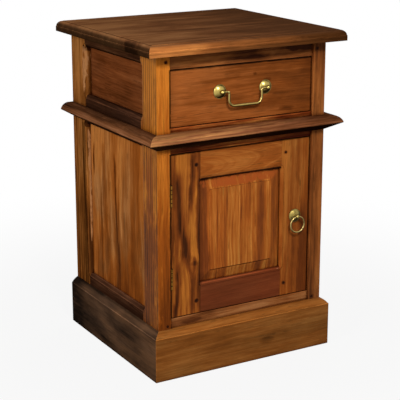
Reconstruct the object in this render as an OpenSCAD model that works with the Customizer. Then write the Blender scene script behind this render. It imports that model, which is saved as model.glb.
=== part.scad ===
// Bedside cabinet: four corner posts with framed sides, one drawer with a bail pull,
// one framed door with a ring pull, a waist moulding and a plinth.
// Millimetres. Front is -Y. The origin is on the floor, in the middle of the top's outline.

/* [Cabinet] */
// Width of the body across its corner posts
body_w = 402; // [380:1:440]
// Depth of the body from the front of its posts to the back
body_d = 396; // [370:1:440]
// Height from the floor to the top surface
total_h = 700; // [670:1:760]
// Width of a corner post seen from the front
post_w = 30; // [28:0.5:36]
// Depth of a corner post seen from the side
post_d = 68; // [60:1:80]
// How far rails, drawer and door lie behind the front of the posts
setback = 5.5; // [4:0.5:7]

/* [Top board] */
// Thickness of the top board
top_t = 23; // [21:0.5:30]
// Overhang of the top at the front and sides
top_over = 32; // [24:1:40]
// Overhang of the top at the back
top_over_back = 10; // [2:1:20]
// Height of the plain edge below the ovolo of the top
top_edge_h = 11; // [9:0.5:12]
// Height of the fine step above the ovolo of the top
top_step = 0.6; // [0.3:0.1:2]
// Width of the fine step below the ovolo of the top
top_quirk = 0.8; // [0.5:0.1:2]

/* [Waist moulding] */
// Distance of the waist moulding below the drawer opening
waist_drop = 9; // [4:1:12]
// Height of the waist moulding at its back
waist_h = 32; // [28:1:36]
// Projection of the waist moulding from the posts
waist_out = 30; // [24:1:38]
// Radius of the round above the nose of the waist moulding
waist_round_r = 19.5; // [16:0.5:21]
// Angle above the horizontal at which that round ends
waist_nose_a = 20; // [10:1:30]
// Height of the flat nose between the round and the sloping underside
waist_nose_h = 2; // [0.5:0.5:4]

/* [Plinth] */
// Height of the plinth
plinth_h = 106; // [95:1:120]
// Thickness of the plinth boards
plinth_t = 15; // [13:0.5:20]
// Height of the moulded part of the plinth
plinth_edge_h = 12; // [8:0.5:14]
// Radius of the flat round that slopes from the posts to the plinth's face
plinth_round_r = 30; // [18:1:40]
// Width of the fine step below that round
plinth_quirk = 1; // [0.5:0.1:2]

/* [Front and rear rails] */
// Thickness of the front and rear rails
rail_t = 20; // [18:0.5:24]
// Height of the rail above the drawer
top_rail_h = 32; // [26:1:40]
// Height of the drawer opening
drawer_open_h = 118; // [100:1:140]
// Height of the rail between drawer and door
mid_rail_h = 52.5; // [46:0.5:60]
// Height of the rail below the door
bottom_rail_h = 27; // [24:0.5:34]
// Height of the bottom rail that shows above the plinth
bottom_rail_show = 19.5; // [14:0.5:22]
// Length of the tenons of the front and rear rails
tenon_l = 22; // [16:1:24]
// Thickness of all tenons of the frames
tenon_t = 8; // [6:0.5:9]
// Height of the shoulder above and below those tenons
tenon_shoulder = 4; // [3:0.5:6]

/* [Side frames] */
// Thickness of the side rails
side_rail_t = 25; // [22:0.5:26]
// Height of the upper side rail
side_top_rail_h = 28; // [24:1:40]
// Height of the middle side rail
side_mid_rail_h = 63; // [54:1:72]
// Height of the middle side rail above the drawer's rail
side_mid_rise = 16; // [10:1:20]
// Height of the lower side rail
side_bottom_rail_h = 50; // [44:1:60]
// Height of the lower side rail above the rail below the door
side_bottom_rise = 7.5; // [4:0.5:12]
// Length of the tenons of the side rails
side_tenon_l = 30; // [20:1:40]
// Thickness of the side panels
panel_t = 7; // [5:0.5:8]
// Depth of the upper side panels behind the frame
upper_recess = 14.5; // [11:0.5:15]
// Depth of the lower side panels behind the frame
lower_recess = 10; // [9.5:0.5:12]
// Depth of the grooves that hold the panels
groove_l = 8; // [6:0.5:10]
// Wood between such a groove and the tenon beside it
groove_wall = 2; // [1:0.5:3]
// Radius of the ovolo routed round the side panels
side_edge_r = 8; // [5:0.5:8]

/* [Routed edges] */
// Height and width of the fine step outside a routed ovolo
edge_step = 1; // [0.5:0.25:1.5]
// Radius that the cutter leaves in the inner corners of a frame
bearing_r = 5; // [3:0.5:8]

/* [Back and inside] */
// Thickness of the back panel
back_t = 6; // [4:0.5:6.5]
// Depth of the rebate behind the rear posts
rebate_d = 7; // [6.5:0.5:10]
// Width of that rebate
rebate_w = 10; // [8:0.5:14]
// Thickness of the rear plinth board
rear_plinth_t = 15; // [12:0.5:20]
// Thickness of the cupboard floor
floor_t = 12; // [9:0.5:16]
// Size of the battens below the cupboard floor
bearer = 15; // [12:0.5:20]
// Width of a drawer runner
runner_w = 18; // [16:0.5:22]
// Height of a drawer runner below the drawer
runner_h = 30; // [24:1:34]
// Height of the guide strip of a runner beside the drawer
guide_h = 20; // [12:1:30]
// Thickness of the dust panel below the drawer
dust_t = 5; // [4:0.5:6]
// Height of the dust panel above the bottom of the runners
dust_rise = 5; // [4:0.5:10]
// Depth of the grooves that hold the dust panel
dust_groove = 6; // [4:0.5:8]
// Width of a drawer stop
stop_w = 30; // [20:1:40]
// Thickness of a drawer stop
stop_t = 8; // [6:0.5:10]
// Height of a drawer stop above its rail
stop_rise = 7; // [5:0.5:9]
// Distance between the centres of the two drawer stops
stop_span = 200; // [160:5:240]
// Width of the door stop on the lock side
door_stop_w = 18; // [16:0.5:22]
// Depth of that door stop
door_stop_d = 12; // [10:0.5:16]

/* [Drawer] */
// Gap round the drawer front and the door
front_gap = 2; // [1.5:0.25:2.5]
// Gap between the drawer and the rails behind it
drawer_rear_gap = 24; // [10:1:50]
// Thickness of the drawer sides
drawer_side_t = 12; // [10:0.5:14]
// Thickness of the drawer back
drawer_back_t = 12; // [10:0.5:14]
// Thickness of the drawer bottom
drawer_bottom_t = 6; // [4:0.5:6.5]
// Height of the drawer bottom above the lower edge of the sides
bottom_rise = 10; // [9:0.5:14]
// Depth of the grooves that hold the drawer bottom
bottom_groove = 5; // [4:0.5:6]
// Distance of the drawer sides below the top of the front
side_drop = 1; // [0.5:0.5:6]
// Distance of the drawer back below the top of the sides
back_drop = 8; // [4:0.5:14]
// Number of dovetails at each corner
tail_n = 3; // [2:1:4]
// Length of the lapped dovetails in the front
tail_l = 15; // [12:0.5:16]
// Slope of the dovetails in degrees
tail_angle = 9.5; // [7:0.5:12]
// Share of the pitch that the root of a dovetail takes
tail_share = 0.5; // [0.4:0.05:0.6]

/* [Door] */
// Thickness of the door frame
door_t = 22; // [20:0.5:24]
// Width of the door stiles
door_stile_w = 70; // [60:1:76]
// Height of the upper door rail
door_top_rail_h = 60; // [54:1:80]
// Height of the lower door rail
door_bottom_rail_h = 64; // [54:1:80]
// Length of the tenons of the door rails
door_tenon_l = 50; // [36:1:54]
// Height of the shoulders of the tenons of the door rails
door_shoulder = 10; // [9:0.5:14]
// Radius of the ovolo routed round the door panel
door_edge_r = 6; // [4:0.5:7]
// Depth of the raised field behind the face of the door
field_recess = 1.5; // [0.5:0.25:3]
// Height of the step round the raised field
field_step = 2; // [1:0.25:3]
// Width of the sloping border round the raised field
bevel_w = 24; // [18:1:32]
// Depth of the panel's tongue behind the face of the door
tongue_recess = 9; // [8.5:0.25:9.5]
// Thickness of the panel's tongue
tongue_t = 6; // [5:0.5:7]

/* [Pegs] */
// Radius of the pegs that lock the tenons
peg_r = 2.8; // [2:0.1:4]
// Length of the pegs
peg_l = 18; // [14:0.5:19]
// Distance of the post pegs from the edge of their post
post_peg_inset = 9; // [7:0.5:12]
// Distance of the door pegs from the inner edge of their stile
door_peg_inset = 10; // [8:0.5:16]
// Distance of the door pegs from the end of the door
door_peg_end = 27; // [22:0.5:32]

/* [Hinges] */
// Length of a hinge
hinge_l = 46; // [38:1:56]
// Distance of a hinge from the end of the door
hinge_inset = 61.5; // [40:0.5:80]
// Radius of the hinge knuckles
knuckle_r = 2.5; // [2.2:0.05:2.6]
// Radius of the hinge pin
pin_r = 1.2; // [0.9:0.05:1.4]
// Clearance round the hinge pin and the ends of the bail
pin_fit = 0.06; // [0.03:0.01:0.1]
// Thickness of the hinge leaves
leaf_t = 1.2; // [1:0.05:1.4]
// Depth of the hinge leaves behind the face of the door
leaf_d = 13; // [10:0.5:15]
// Distance of the hinge pin before the face of the door
pin_out = 2.9; // [2.8:0.05:3.4]
// Gap between neighbouring knuckles
knuckle_gap = 0.3; // [0.2:0.05:0.5]
// Number of knuckles of a hinge
knuckles = 5; // [3:2:7]

/* [Catch] */
// Radius of the magnet in the door stop
magnet_r = 4; // [3:0.25:5]
// Length of the magnet
magnet_l = 6; // [4:0.5:8]
// Radius of the plate on the door
plate_r = 5; // [4:0.25:6]
// Thickness of the plate on the door
plate_t = 1; // [0.6:0.1:1.5]

/* [Pulls] */
// Distance between the posts of the bail pull
bail_span = 109; // [96:1:124]
// Height of the bail pull's posts above the middle of the drawer front
bail_rise = 5; // [-5:0.5:10]
// Height of the ring pull's eye above the middle of the door
ring_rise = 3; // [-20:1:20]
// Radius of the roses
rose_r = 14.5; // [12:0.5:16]
// Thickness of the rim of a rose
rose_rim = 1.2; // [0.8:0.1:2]
// Width of the rim outside the dome
rose_step = 0.6; // [0.4:0.1:1.5]
// Height of a rose up to the seat of its post
rose_seat = 7.2; // [6:0.1:7.4]
// Height of the crown of the dome before its seat is faced off
rose_crown = 7.5; // [7.4:0.1:8]
// Distance of the eyes before the wood
pull_out = 12; // [11.5:0.25:14]
// Radius of the ball at the end of each post
ball_r = 4.6; // [4.4:0.1:5.2]
// Radius of the neck below the ball
neck_r = 2.8; // [2.2:0.1:3.2]
// Radius of the screw shanks
shank_r = 2; // [1.5:0.1:2.2]
// Length of the shanks behind the wood
shank_tail = 4; // [3.5:0.25:6]
// Radius of the nuts
nut_r = 5; // [4:0.25:6]
// Thickness of the nuts
nut_t = 3; // [2:0.25:3.5]
// Radius of the rod of the bail
bail_r = 2.6; // [2.2:0.1:2.9]
// Radius of the bottom bar of the bail at its middle
bail_mid_r = 3.3; // [2.9:0.1:3.5]
// Radius of the knees at the upper bends of the bail
bail_knee_r = 3.2; // [2.9:0.1:3.4]
// Radius of the ends of the bail that turn in the posts
bail_end_r = 1.9; // [1.5:0.1:2]
// Depth of the blind holes for those ends beyond the middle of the post
bail_hole_l = 2; // [1:0.25:2.5]
// Distance from a post of the bail pull to the arm of the bail
bail_neck = 15.5; // [13:0.5:18]
// Distance of the bottom bar below the posts
bail_drop = 30; // [24:0.5:34]
// Radius of the upper bends of the bail
bail_bend_r = 4; // [3:0.25:6]
// Radius of the lower bends of the bail
bail_corner_r = 13; // [8:0.5:14]
// Radius of the ring at the middle of its rod
ring_r = 17.2; // [15:0.2:19]
// Radius of the rod of the ring
ring_rod_r = 1.8; // [1.5:0.1:2]
// Radius of the hole for the ring
ring_hole_r = 2.6; // [2.5:0.05:2.8]

/* [Fits] */
// Clearance of joints that are glued
fit = 0.1; // [0.05:0.01:0.2]
// Clearance of pegs, screws and nuts
peg_fit = 0.05; // [0.02:0.01:0.1]
// Play of a panel in its grooves
panel_play = 1; // [0.5:0.25:2]
// Clearance between fixed and moving wood where it meets
run_gap = 0.3; // [0.2:0.05:0.5]

/* [Hidden] */

$fn = 48;

// Extra length that takes a cut clean through a face
over = 1;

// Colours as the wood and metal show
mahogany = "#8a4a22";
dark_mahogany = "#5f3319";
golden_mahogany = "#a8642c";
red_mahogany = "#7a3f24";
plain_wood = "#b08a5c";
old_brass = "#9c8748";
steel = "#8c8c88";

// Radius of the ovolo round the top
top_ovolo_r = top_t - top_edge_h - top_step;

// Planes across the cabinet
x_out = body_w / 2;
x_in = x_out - post_w;
x_rail = x_out - side_rail_t;

// Planes from front to back
top_d = body_d + top_over + top_over_back;
y_post = top_over - top_d / 2;
y_back = y_post + body_d;
y_face = y_post + setback;
y_inner = y_face + rail_t;
y_side0 = y_post + post_d;
y_side1 = y_back - post_d;
y_rebate = y_back - rebate_d;
y_rear_rail = y_rebate - rail_t;
y_mid = (y_side0 + y_side1) / 2;

// Levels of the front and rear rails
z_top = total_h - top_t;
z_drawer1 = z_top - top_rail_h;
z_drawer0 = z_drawer1 - drawer_open_h;
z_door1 = z_drawer0 - mid_rail_h;
z_door0 = plinth_h + bottom_rail_show;
z_bottom = z_door0 - bottom_rail_h;
rail_spans = [[z_drawer1, z_top], [z_door1, z_drawer0], [z_bottom, z_door0]];
peg_levels = [(z_drawer1 + z_top) / 2, (z_bottom + z_door0) / 2];

// Levels of the side rails and of the panel openings between them
z_side_top = z_top - side_top_rail_h;
z_side_mid1 = z_drawer0 + side_mid_rise;
z_side_mid0 = z_side_mid1 - side_mid_rail_h;
z_side_bottom1 = z_door0 + side_bottom_rise;
z_side_bottom0 = z_side_bottom1 - side_bottom_rail_h;
upper_span = [z_side_mid1, z_side_top];
lower_span = [z_side_bottom1, z_side_mid0];

// Tenons of the rails
tenon_back = (rail_t - tenon_t) / 2;
side_tenon_x = x_rail + (side_rail_t - tenon_t) / 2;
tenon_clear = groove_l + groove_wall;
side_tenons = [[z_side_top + tenon_clear, z_top - tenon_shoulder],
    [z_side_mid0 + tenon_clear, z_side_mid1 - tenon_clear],
    [z_side_bottom0 + tenon_shoulder, z_side_bottom1 - tenon_clear]];

// Waist moulding
z_waist1 = z_drawer0 - waist_drop;
z_waist0 = z_waist1 - waist_h;

// Drawer and door outlines
x_leaf = x_in - front_gap;
z_front0 = z_drawer0 + front_gap;
z_front1 = z_drawer1 - front_gap;
front_t = rail_t - run_gap;
y_box0 = y_face + front_t;
y_box1 = y_rear_rail - drawer_rear_gap;
z_box1 = z_front1 - side_drop;
x_box = x_leaf - drawer_side_t;
z_sheet0 = z_front0 + bottom_rise;
z_sheet1 = z_sheet0 + drawer_bottom_t;
z_back0 = z_sheet1 + 2 * fit;
z_back1 = z_box1 - back_drop;
z_leaf0 = z_door0 + front_gap;
z_leaf1 = z_door1 - front_gap;
x_sight = x_leaf - door_stile_w;
z_sight0 = z_leaf0 + door_bottom_rail_h;
z_sight1 = z_leaf1 - door_top_rail_h;
door_tenon_y = y_face + (door_t - tenon_t) / 2;

// Runners under the drawer
z_runner1 = z_front0 - run_gap;
z_runner0 = z_runner1 - runner_h;
x_runner = x_in - runner_w;
z_dust = z_runner0 + dust_rise;

// Door stop and its magnet
y_stop = y_face + door_t + run_gap;
x_stop = x_in - door_stop_w;
catch_at = [x_stop + door_stop_w / 2, (z_door0 + z_door1) / 2];

// Hinge pin axis and the lower ends of the hinges
x_pin = knuckle_r - x_in;
y_pin = y_face - pin_out;
hinge_levels = [z_leaf0 + hinge_inset, z_leaf1 - hinge_inset - hinge_l];
knuckle_h = hinge_l / knuckles;

// Pulls
pull_z = (z_front0 + z_front1) / 2 + bail_rise;
ring_x = (x_sight + x_leaf) / 2;
eye_z = (z_leaf0 + z_leaf1) / 2 + ring_rise;
y_eye = y_face - pull_out;
rose_base_r = rose_r - rose_step;
dome_h = rose_crown - rose_rim;
dome_r = (pow(rose_base_r, 2) + pow(dome_h, 2)) / (2 * dome_h);
bail_arm = bail_span / 2 - bail_neck;

// A board between two opposite corners
module board(lo, hi) {
    translate(lo) cube(hi - lo);
}

// The same thing on the left of the cabinet
module on_left() {
    mirror([1, 0, 0]) children();
}

// Both sides of the cabinet
module on_both() {
    children();
    mirror([1, 0, 0]) children();
}

// Puts a flat outline upright in the side plane and draws it out to the right
module upright(x0, length) {
    translate([x0, 0, 0]) rotate([90, 0, 90]) linear_extrude(length) children();
}

// Joints of the frames

// A rail across the cabinet with a tenon at each end
module cross_rail(y0, span) {
    y1 = y0 + tenon_back;
    board([-x_in, y0, span[0]], [x_in, y0 + rail_t, span[1]]);
    board([-x_in - tenon_l, y1, span[0] + tenon_shoulder],
        [x_in + tenon_l, y1 + tenon_t, span[1] - tenon_shoulder]);
}

// The mortise in the right post for such a rail
module cross_mortise(y0, span) {
    y1 = y0 + tenon_back;
    board([x_in - over, y1 - fit, span[0] + tenon_shoulder - fit],
        [x_in + tenon_l + fit, y1 + tenon_t + fit, span[1] - tenon_shoulder + fit]);
}

// The tenons of one side rail, or with a clearance the mortises in both posts
module side_tenon(span, gap) {
    board([side_tenon_x - gap, y_side0 - side_tenon_l - gap, span[0] - gap],
        [side_tenon_x + tenon_t + gap, y_side1 + side_tenon_l + gap, span[1] + gap]);
}

// The space of a side panel in its grooves
module panel_space(span, recess, play, gap) {
    reach = groove_l - play;
    board([x_out - recess - panel_t - gap, y_side0 - reach, span[0] - reach],
        [x_out - recess + gap, y_side1 + reach, span[1] + reach]);
}

module panel_grooves() {
    panel_space(upper_span, upper_recess, 0, fit);
    panel_space(lower_span, lower_recess, 0, fit);
}

// Section of what the cutter takes from a frame: a fine step and then an ovolo
module edge_section(r) {
    depth = edge_step + r;
    difference() {
        translate([0, -depth]) square([bearing_r + r + edge_step, depth + over]);
        translate([bearing_r + r, -depth]) circle(r);
        translate([bearing_r + r, -depth - over]) square([edge_step + over, r + over]);
    }
}

// What the cutter takes on its way round an opening, with round corners
module routed_edge(w, h, r) {
    for (side = [0:3]) {
        across = side % 2 == 0 ? w : h;
        along = side % 2 == 0 ? h : w;
        run = along - 2 * bearing_r;
        rotate(side * 90) translate([across / 2 - bearing_r, 0, 0]) {
            rotate([90, 0, 0]) linear_extrude(run, center = true) edge_section(r);
            translate([0, run / 2, 0]) rotate_extrude(angle = 90) edge_section(r);
        }
    }
}

// The routed edges round the two panels of the right side
module side_edges() {
    for (span = [upper_span, lower_span]) {
        translate([x_out, y_mid, (span[0] + span[1]) / 2]) rotate([90, 0, 90])
            routed_edge(y_side1 - y_side0, span[1] - span[0], side_edge_r);
    }
}

module peg(x, y, z, gap) {
    lead = gap > 0 ? over : 0;
    translate([x, y - lead, z]) rotate([-90, 0, 0]) cylinder(r = peg_r + gap, h = peg_l + lead + gap);
}

// Body

// Section of the top with the moulding on two edges
module top_section(span) {
    half = span / 2;
    flat = half - top_quirk - top_ovolo_r;
    translate([-half, 0]) square([span, top_edge_h]);
    translate([-flat, 0]) square([2 * flat, top_t]);
    for (m = [0, 1]) {
        mirror([m, 0]) translate([flat, top_edge_h]) intersection() {
            circle(top_ovolo_r);
            square(top_ovolo_r);
        }
    }
}

module top_board() {
    wide = body_w + 2 * top_over;
    color(dark_mahogany) translate([0, 0, z_top]) intersection() {
        rotate([90, 0, 90]) linear_extrude(wide + over, center = true) top_section(top_d);
        rotate([90, 0, 0]) linear_extrude(top_d + over, center = true) top_section(wide);
    }
}

// Cuts that every right post has: side mortises, panel grooves and routed edges
module side_cuts() {
    for (span = side_tenons) {
        side_tenon(span, fit);
    }
    panel_grooves();
    side_edges();
}

module front_post() {
    difference() {
        board([x_in, y_post, 0], [x_out, y_side0, z_top]);
        for (span = rail_spans) {
            cross_mortise(y_face, span);
        }
        side_cuts();
        for (z = peg_levels) {
            post_pegs(z, peg_fit);
        }
    }
}

module rear_post() {
    difference() {
        board([x_in, y_side1, 0], [x_out, y_back, z_top]);
        for (span = rail_spans) {
            cross_mortise(y_rear_rail, span);
        }
        side_cuts();
        board([x_in - over, y_rebate, z_bottom], [x_in + rebate_w, y_back + over, z_top + over]);
    }
}

module post_front_right() { color(golden_mahogany) front_post(); }
module post_front_left() { color(golden_mahogany) on_left() front_post(); }
module post_rear_right() { color(mahogany) rear_post(); }
module post_rear_left() { color(mahogany) on_left() rear_post(); }

// A side rail between two levels, with its tenons and the grooves and edges that cross it
module side_rail(z0, z1, tenon) {
    difference() {
        union() {
            board([x_rail, y_side0, z0], [x_out, y_side1, z1]);
            side_tenon(tenon, 0);
        }
        panel_grooves();
        side_edges();
    }
}

module side_rail_top() { side_rail(z_side_top, z_top, side_tenons[0]); }
module side_rail_middle() { side_rail(z_side_mid0, z_side_mid1, side_tenons[1]); }
module side_rail_bottom() { side_rail(z_side_bottom0, z_side_bottom1, side_tenons[2]); }

module side_rail_top_right() { color(mahogany) side_rail_top(); }
module side_rail_top_left() { color(mahogany) on_left() side_rail_top(); }
module side_rail_middle_right() { color(mahogany) side_rail_middle(); }
module side_rail_middle_left() { color(mahogany) on_left() side_rail_middle(); }
module side_rail_bottom_right() { color(mahogany) side_rail_bottom(); }
module side_rail_bottom_left() { color(mahogany) on_left() side_rail_bottom(); }

module upper_panel() { panel_space(upper_span, upper_recess, panel_play, 0); }
module lower_panel() { panel_space(lower_span, lower_recess, panel_play, 0); }

module side_panel_upper_right() { color(red_mahogany) upper_panel(); }
module side_panel_upper_left() { color(red_mahogany) on_left() upper_panel(); }
module side_panel_lower_right() { color(golden_mahogany) lower_panel(); }
module side_panel_lower_left() { color(golden_mahogany) on_left() lower_panel(); }

// The dust panel, or with a clearance the grooves that hold it
module dust_space(play, gap) {
    reach = dust_groove - play;
    board([-x_runner - reach, y_inner - reach, z_dust - gap],
        [x_runner + reach, y_rear_rail + reach, z_dust + dust_t + gap]);
}

// The two pegs at one level, or with a clearance their holes
module post_pegs(z, gap) {
    on_both() peg(x_in + post_peg_inset, y_post, z, gap);
}

// A front rail whose tenons are pegged
module pegged_rail(span, z) {
    difference() {
        cross_rail(y_face, span);
        post_pegs(z, peg_fit);
    }
}

module front_rail_top() { color(dark_mahogany) pegged_rail(rail_spans[0], peg_levels[0]); }
module front_rail_bottom() { color(mahogany) pegged_rail(rail_spans[2], peg_levels[1]); }
module front_rail_middle() {
    color(red_mahogany) difference() {
        cross_rail(y_face, rail_spans[1]);
        dust_space(0, fit);
    }
}

module rear_rail_top() { color(mahogany) cross_rail(y_rear_rail, rail_spans[0]); }
module rear_rail_bottom() { color(mahogany) cross_rail(y_rear_rail, rail_spans[2]); }
module rear_rail_middle() {
    color(mahogany) difference() {
        cross_rail(y_rear_rail, rail_spans[1]);
        dust_space(0, fit);
    }
}

module back_panel() {
    half = x_in + rebate_w - fit;
    color(mahogany) board([-half, y_rebate, z_bottom], [half, y_rebate + back_t, z_top]);
}

// Section of the waist moulding, outward and up from the lower edge of its back
module waist_section() {
    heart = [waist_out - waist_round_r * cos(waist_nose_a), waist_h - waist_round_r];
    nose = [waist_out, heart[1] + waist_round_r * sin(waist_nose_a)];
    polygon([[0, 0], nose - [0, waist_nose_h], nose, [heart[0], nose[1]], [heart[0], waist_h], [0, waist_h]]);
    intersection() {
        translate(heart) circle(waist_round_r);
        translate([heart[0], nose[1]]) square([waist_out - heart[0], waist_h - nose[1]]);
    }
}

// Section of a plinth board, whose moulding bulges a little over a sloping chord
module plinth_section() {
    foot = [plinth_t - plinth_quirk, plinth_h - plinth_edge_h];
    head = [0, plinth_h];
    outward = [plinth_edge_h, foot[0]] / norm(foot - head);
    depth = sqrt(pow(plinth_round_r, 2) - pow(norm(foot - head) / 2, 2));
    square([plinth_t, foot[1]]);
    polygon([[0, foot[1]], foot, head]);
    intersection() {
        translate((foot + head) / 2 - depth * outward) circle(plinth_round_r);
        polygon([head, foot, [foot[0], plinth_h]]);
    }
}

// A moulding along the front, mitred at both ends
module front_run(out) {
    wide = x_out + out;
    intersection() {
        translate([-wide, y_post, 0]) rotate([90, 0, 90]) linear_extrude(2 * wide)
            mirror([1, 0]) children();
        linear_extrude(total_h)
            polygon([[-x_out, y_post], [-wide, y_post - out], [wide, y_post - out], [x_out, y_post]]);
    }
}

// A moulding along the right side, mitred at the front and square at the back
module side_run(out) {
    wide = x_out + out;
    intersection() {
        translate([x_out, y_back, 0]) rotate([90, 0, 0]) linear_extrude(body_d + out) children();
        linear_extrude(total_h)
            polygon([[x_out, y_post], [wide, y_post - out], [wide, y_back], [x_out, y_back]]);
    }
}

// The part of a front moulding that fills in between the posts
module front_fill(z0, z1) {
    board([fit - x_in, y_post - fit, z0], [x_in - fit, y_face, z1]);
}

module waist_moulding_front() {
    color(mahogany) {
        translate([0, 0, z_waist0]) front_run(waist_out) waist_section();
        front_fill(z_waist0, z_waist1);
    }
}

module waist_side() { translate([0, 0, z_waist0]) side_run(waist_out) waist_section(); }
module waist_moulding_right() { color(mahogany) waist_side(); }
module waist_moulding_left() { color(dark_mahogany) on_left() waist_side(); }

module plinth_front() {
    color(mahogany) {
        front_run(plinth_t) plinth_section();
        front_fill(0, plinth_h);
    }
}

module plinth_side() { side_run(plinth_t) plinth_section(); }
module plinth_right() { color(mahogany) plinth_side(); }
module plinth_left() { color(dark_mahogany) on_left() plinth_side(); }
module plinth_rear() {
    color(mahogany) board([-x_in, y_back - rear_plinth_t, 0], [x_in, y_back, z_bottom]);
}

// Inside of the body

module cupboard_floor() {
    z0 = z_door0 - floor_t;
    color(plain_wood) {
        board([fit - x_in, y_inner, z0], [x_in - fit, y_rear_rail, z_door0]);
        board([fit - x_rail, y_side0 + fit, z0], [x_rail - fit, y_side1 - fit, z_door0]);
    }
}

module floor_bearers() {
    z1 = z_door0 - floor_t;
    color(plain_wood) on_both() board([x_rail - bearer, y_side0, z1 - bearer], [x_rail, y_side1, z1]);
}

module dust_panel() { color(plain_wood) dust_space(panel_play, 0); }

module drawer_runners() {
    color(plain_wood) on_both() difference() {
        union() {
            board([x_runner, y_inner, z_runner0], [x_in, y_rear_rail, z_runner1]);
            board([x_in, y_side0, z_runner0], [x_rail, y_side1, z_runner1 + guide_h]);
        }
        dust_space(0, fit);
    }
}

module drawer_kickers() {
    color(plain_wood) on_both() board([x_runner, y_inner, z_drawer1], [x_in, y_rear_rail, z_top]);
}

module drawer_stops() {
    half = stop_w / 2;
    color(plain_wood) on_both() translate([stop_span / 2, 0, 0])
        board([-half, y_inner, z_drawer0 - stop_w / 2], [half, y_inner + stop_t, z_drawer0 + stop_rise]);
}

module carcass_pegs() {
    color(dark_mahogany) for (z = peg_levels) {
        post_pegs(z, 0);
    }
}

module magnet(gap) {
    lead = gap > 0 ? over : 0;
    translate([catch_at[0], y_stop - lead, catch_at[1]]) rotate([-90, 0, 0])
        cylinder(r = magnet_r + gap, h = magnet_l + lead);
}

module catch_magnet() { color(steel) magnet(0); }

module door_stop() {
    color(mahogany) difference() {
        board([x_stop, y_stop, z_door0], [x_in, y_stop + door_stop_d, z_door1]);
        magnet(peg_fit);
    }
}

// Hinges

// A round bar along the pin axis
module on_pin(r, z0, z1) {
    translate([x_pin, y_pin, z0]) cylinder(r = r, h = z1 - z0);
}

// One hinge leaf, whose first knuckle is number first and then every second one
module hinge_leaf(z0, x0, first) {
    half_gap = knuckle_gap / 2;
    difference() {
        union() {
            board([x0, y_face, z0], [x0 + leaf_t, y_face + leaf_d, z0 + hinge_l]);
            for (k = [first:2:knuckles - 1]) {
                lo = z0 + k * knuckle_h + half_gap;
                hi = z0 + (k + 1) * knuckle_h - half_gap;
                board([x0, y_pin, lo], [x0 + leaf_t, y_face + leaf_t, hi]);
                on_pin(knuckle_r, lo, hi);
            }
        }
        on_pin(pin_r + pin_fit, z0 - over, z0 + hinge_l + over);
    }
}

module hinge_frame_leaves() {
    color(old_brass) for (z = hinge_levels) {
        hinge_leaf(z, -x_in, 0);
    }
}

module hinge_door_leaves() {
    color(old_brass) for (z = hinge_levels) {
        hinge_leaf(z, x_pin + knuckle_r - leaf_t, 1);
    }
}

module hinge_pins() {
    color(old_brass) for (z = hinge_levels) {
        on_pin(pin_r, z, z + hinge_l);
    }
}

// Drawer

// The dovetails of the right corner, drawn from their root towards dir
module dovetails(y_root, dir, length, span, gap) {
    pitch = (span[1] - span[0]) / tail_n;
    root = pitch * tail_share / 2 + gap;
    tip = root + (length + gap) * tan(tail_angle);
    far = dir * (length + gap);
    near = -dir * over;
    for (k = [0:tail_n - 1]) {
        translate([0, y_root, span[0] + (k + 0.5) * pitch])
            upright(x_box - gap, drawer_side_t + gap + (gap > 0 ? over : 0))
            polygon([[near, -root], [0, -root], [far, -tip], [far, tip], [0, root], [near, root]]);
    }
}

box_span = [z_front0, z_box1];
back_span = [z_back0, z_back1];
y_pins = y_box1 - drawer_back_t;

module front_tails(gap) { dovetails(y_box0, -1, tail_l, box_span, gap); }
module back_tails(gap) { dovetails(y_pins, 1, drawer_back_t, back_span, gap); }

module drawer_side() {
    difference() {
        board([x_box, y_box0 - tail_l, z_front0], [x_leaf, y_box1, z_box1]);
        difference() {
            board([x_box - over, y_box0 - tail_l - over, z_front0 - over],
                [x_leaf + over, y_box0, z_box1 + over]);
            front_tails(0);
        }
        difference() {
            board([x_box - over, y_pins, z_back0 - fit], [x_leaf + over, y_box1 + over, z_back1 + fit]);
            back_tails(0);
        }
        sheet(0, fit);
    }
}

// The drawer bottom, or with a clearance the grooves that hold it
module sheet(play, gap) {
    reach = bottom_groove - play;
    board([-x_box - reach, y_box0 - reach, z_sheet0 - gap],
        [x_box + reach, y_box1 + (gap > 0 ? over : 0), z_sheet1 + gap]);
}

module drawer_side_right() { color(plain_wood) drawer_side(); }
module drawer_side_left() { color(plain_wood) on_left() drawer_side(); }
module drawer_bottom() { color(plain_wood) sheet(panel_play, 0); }

// Centres of the bail pull's posts
module at_posts() {
    for (side = [-1, 1]) {
        translate([side * bail_span / 2, y_face, pull_z]) rotate([90, 0, 0]) children();
    }
}

module drawer_front() {
    color(golden_mahogany) difference() {
        board([-x_leaf, y_face, z_front0], [x_leaf, y_box0, z_front1]);
        on_both() front_tails(fit);
        sheet(0, fit);
        at_posts() translate([0, 0, -front_t - over]) cylinder(r = shank_r + peg_fit, h = front_t + 2 * over);
    }
}

module drawer_back() {
    color(plain_wood) difference() {
        board([-x_leaf, y_pins, z_back0], [x_leaf, y_box1, z_back1]);
        on_both() back_tails(fit);
    }
}

// Pulls

// A domed rose, faced off at its seat
module rose_body() {
    rotate_extrude() {
        square([rose_r, rose_rim]);
        intersection() {
            translate([0, rose_crown - dome_r]) circle(dome_r);
            square([rose_base_r, rose_seat]);
        }
    }
}

// Neck and ball of an eye, above the seat of its rose
module eye_body() {
    translate([0, 0, rose_seat]) cylinder(r = neck_r, h = pull_out - rose_seat);
    translate([0, 0, pull_out]) sphere(ball_r);
}

module shank(wood) {
    translate([0, 0, -wood - shank_tail]) cylinder(r = shank_r, h = wood + shank_tail + rose_seat + over);
}

module nut(wood) {
    translate([0, 0, -wood - nut_t]) difference() {
        cylinder(r = nut_r, h = nut_t);
        translate([0, 0, -over]) cylinder(r = shank_r + peg_fit, h = nut_t + 2 * over);
    }
}

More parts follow.
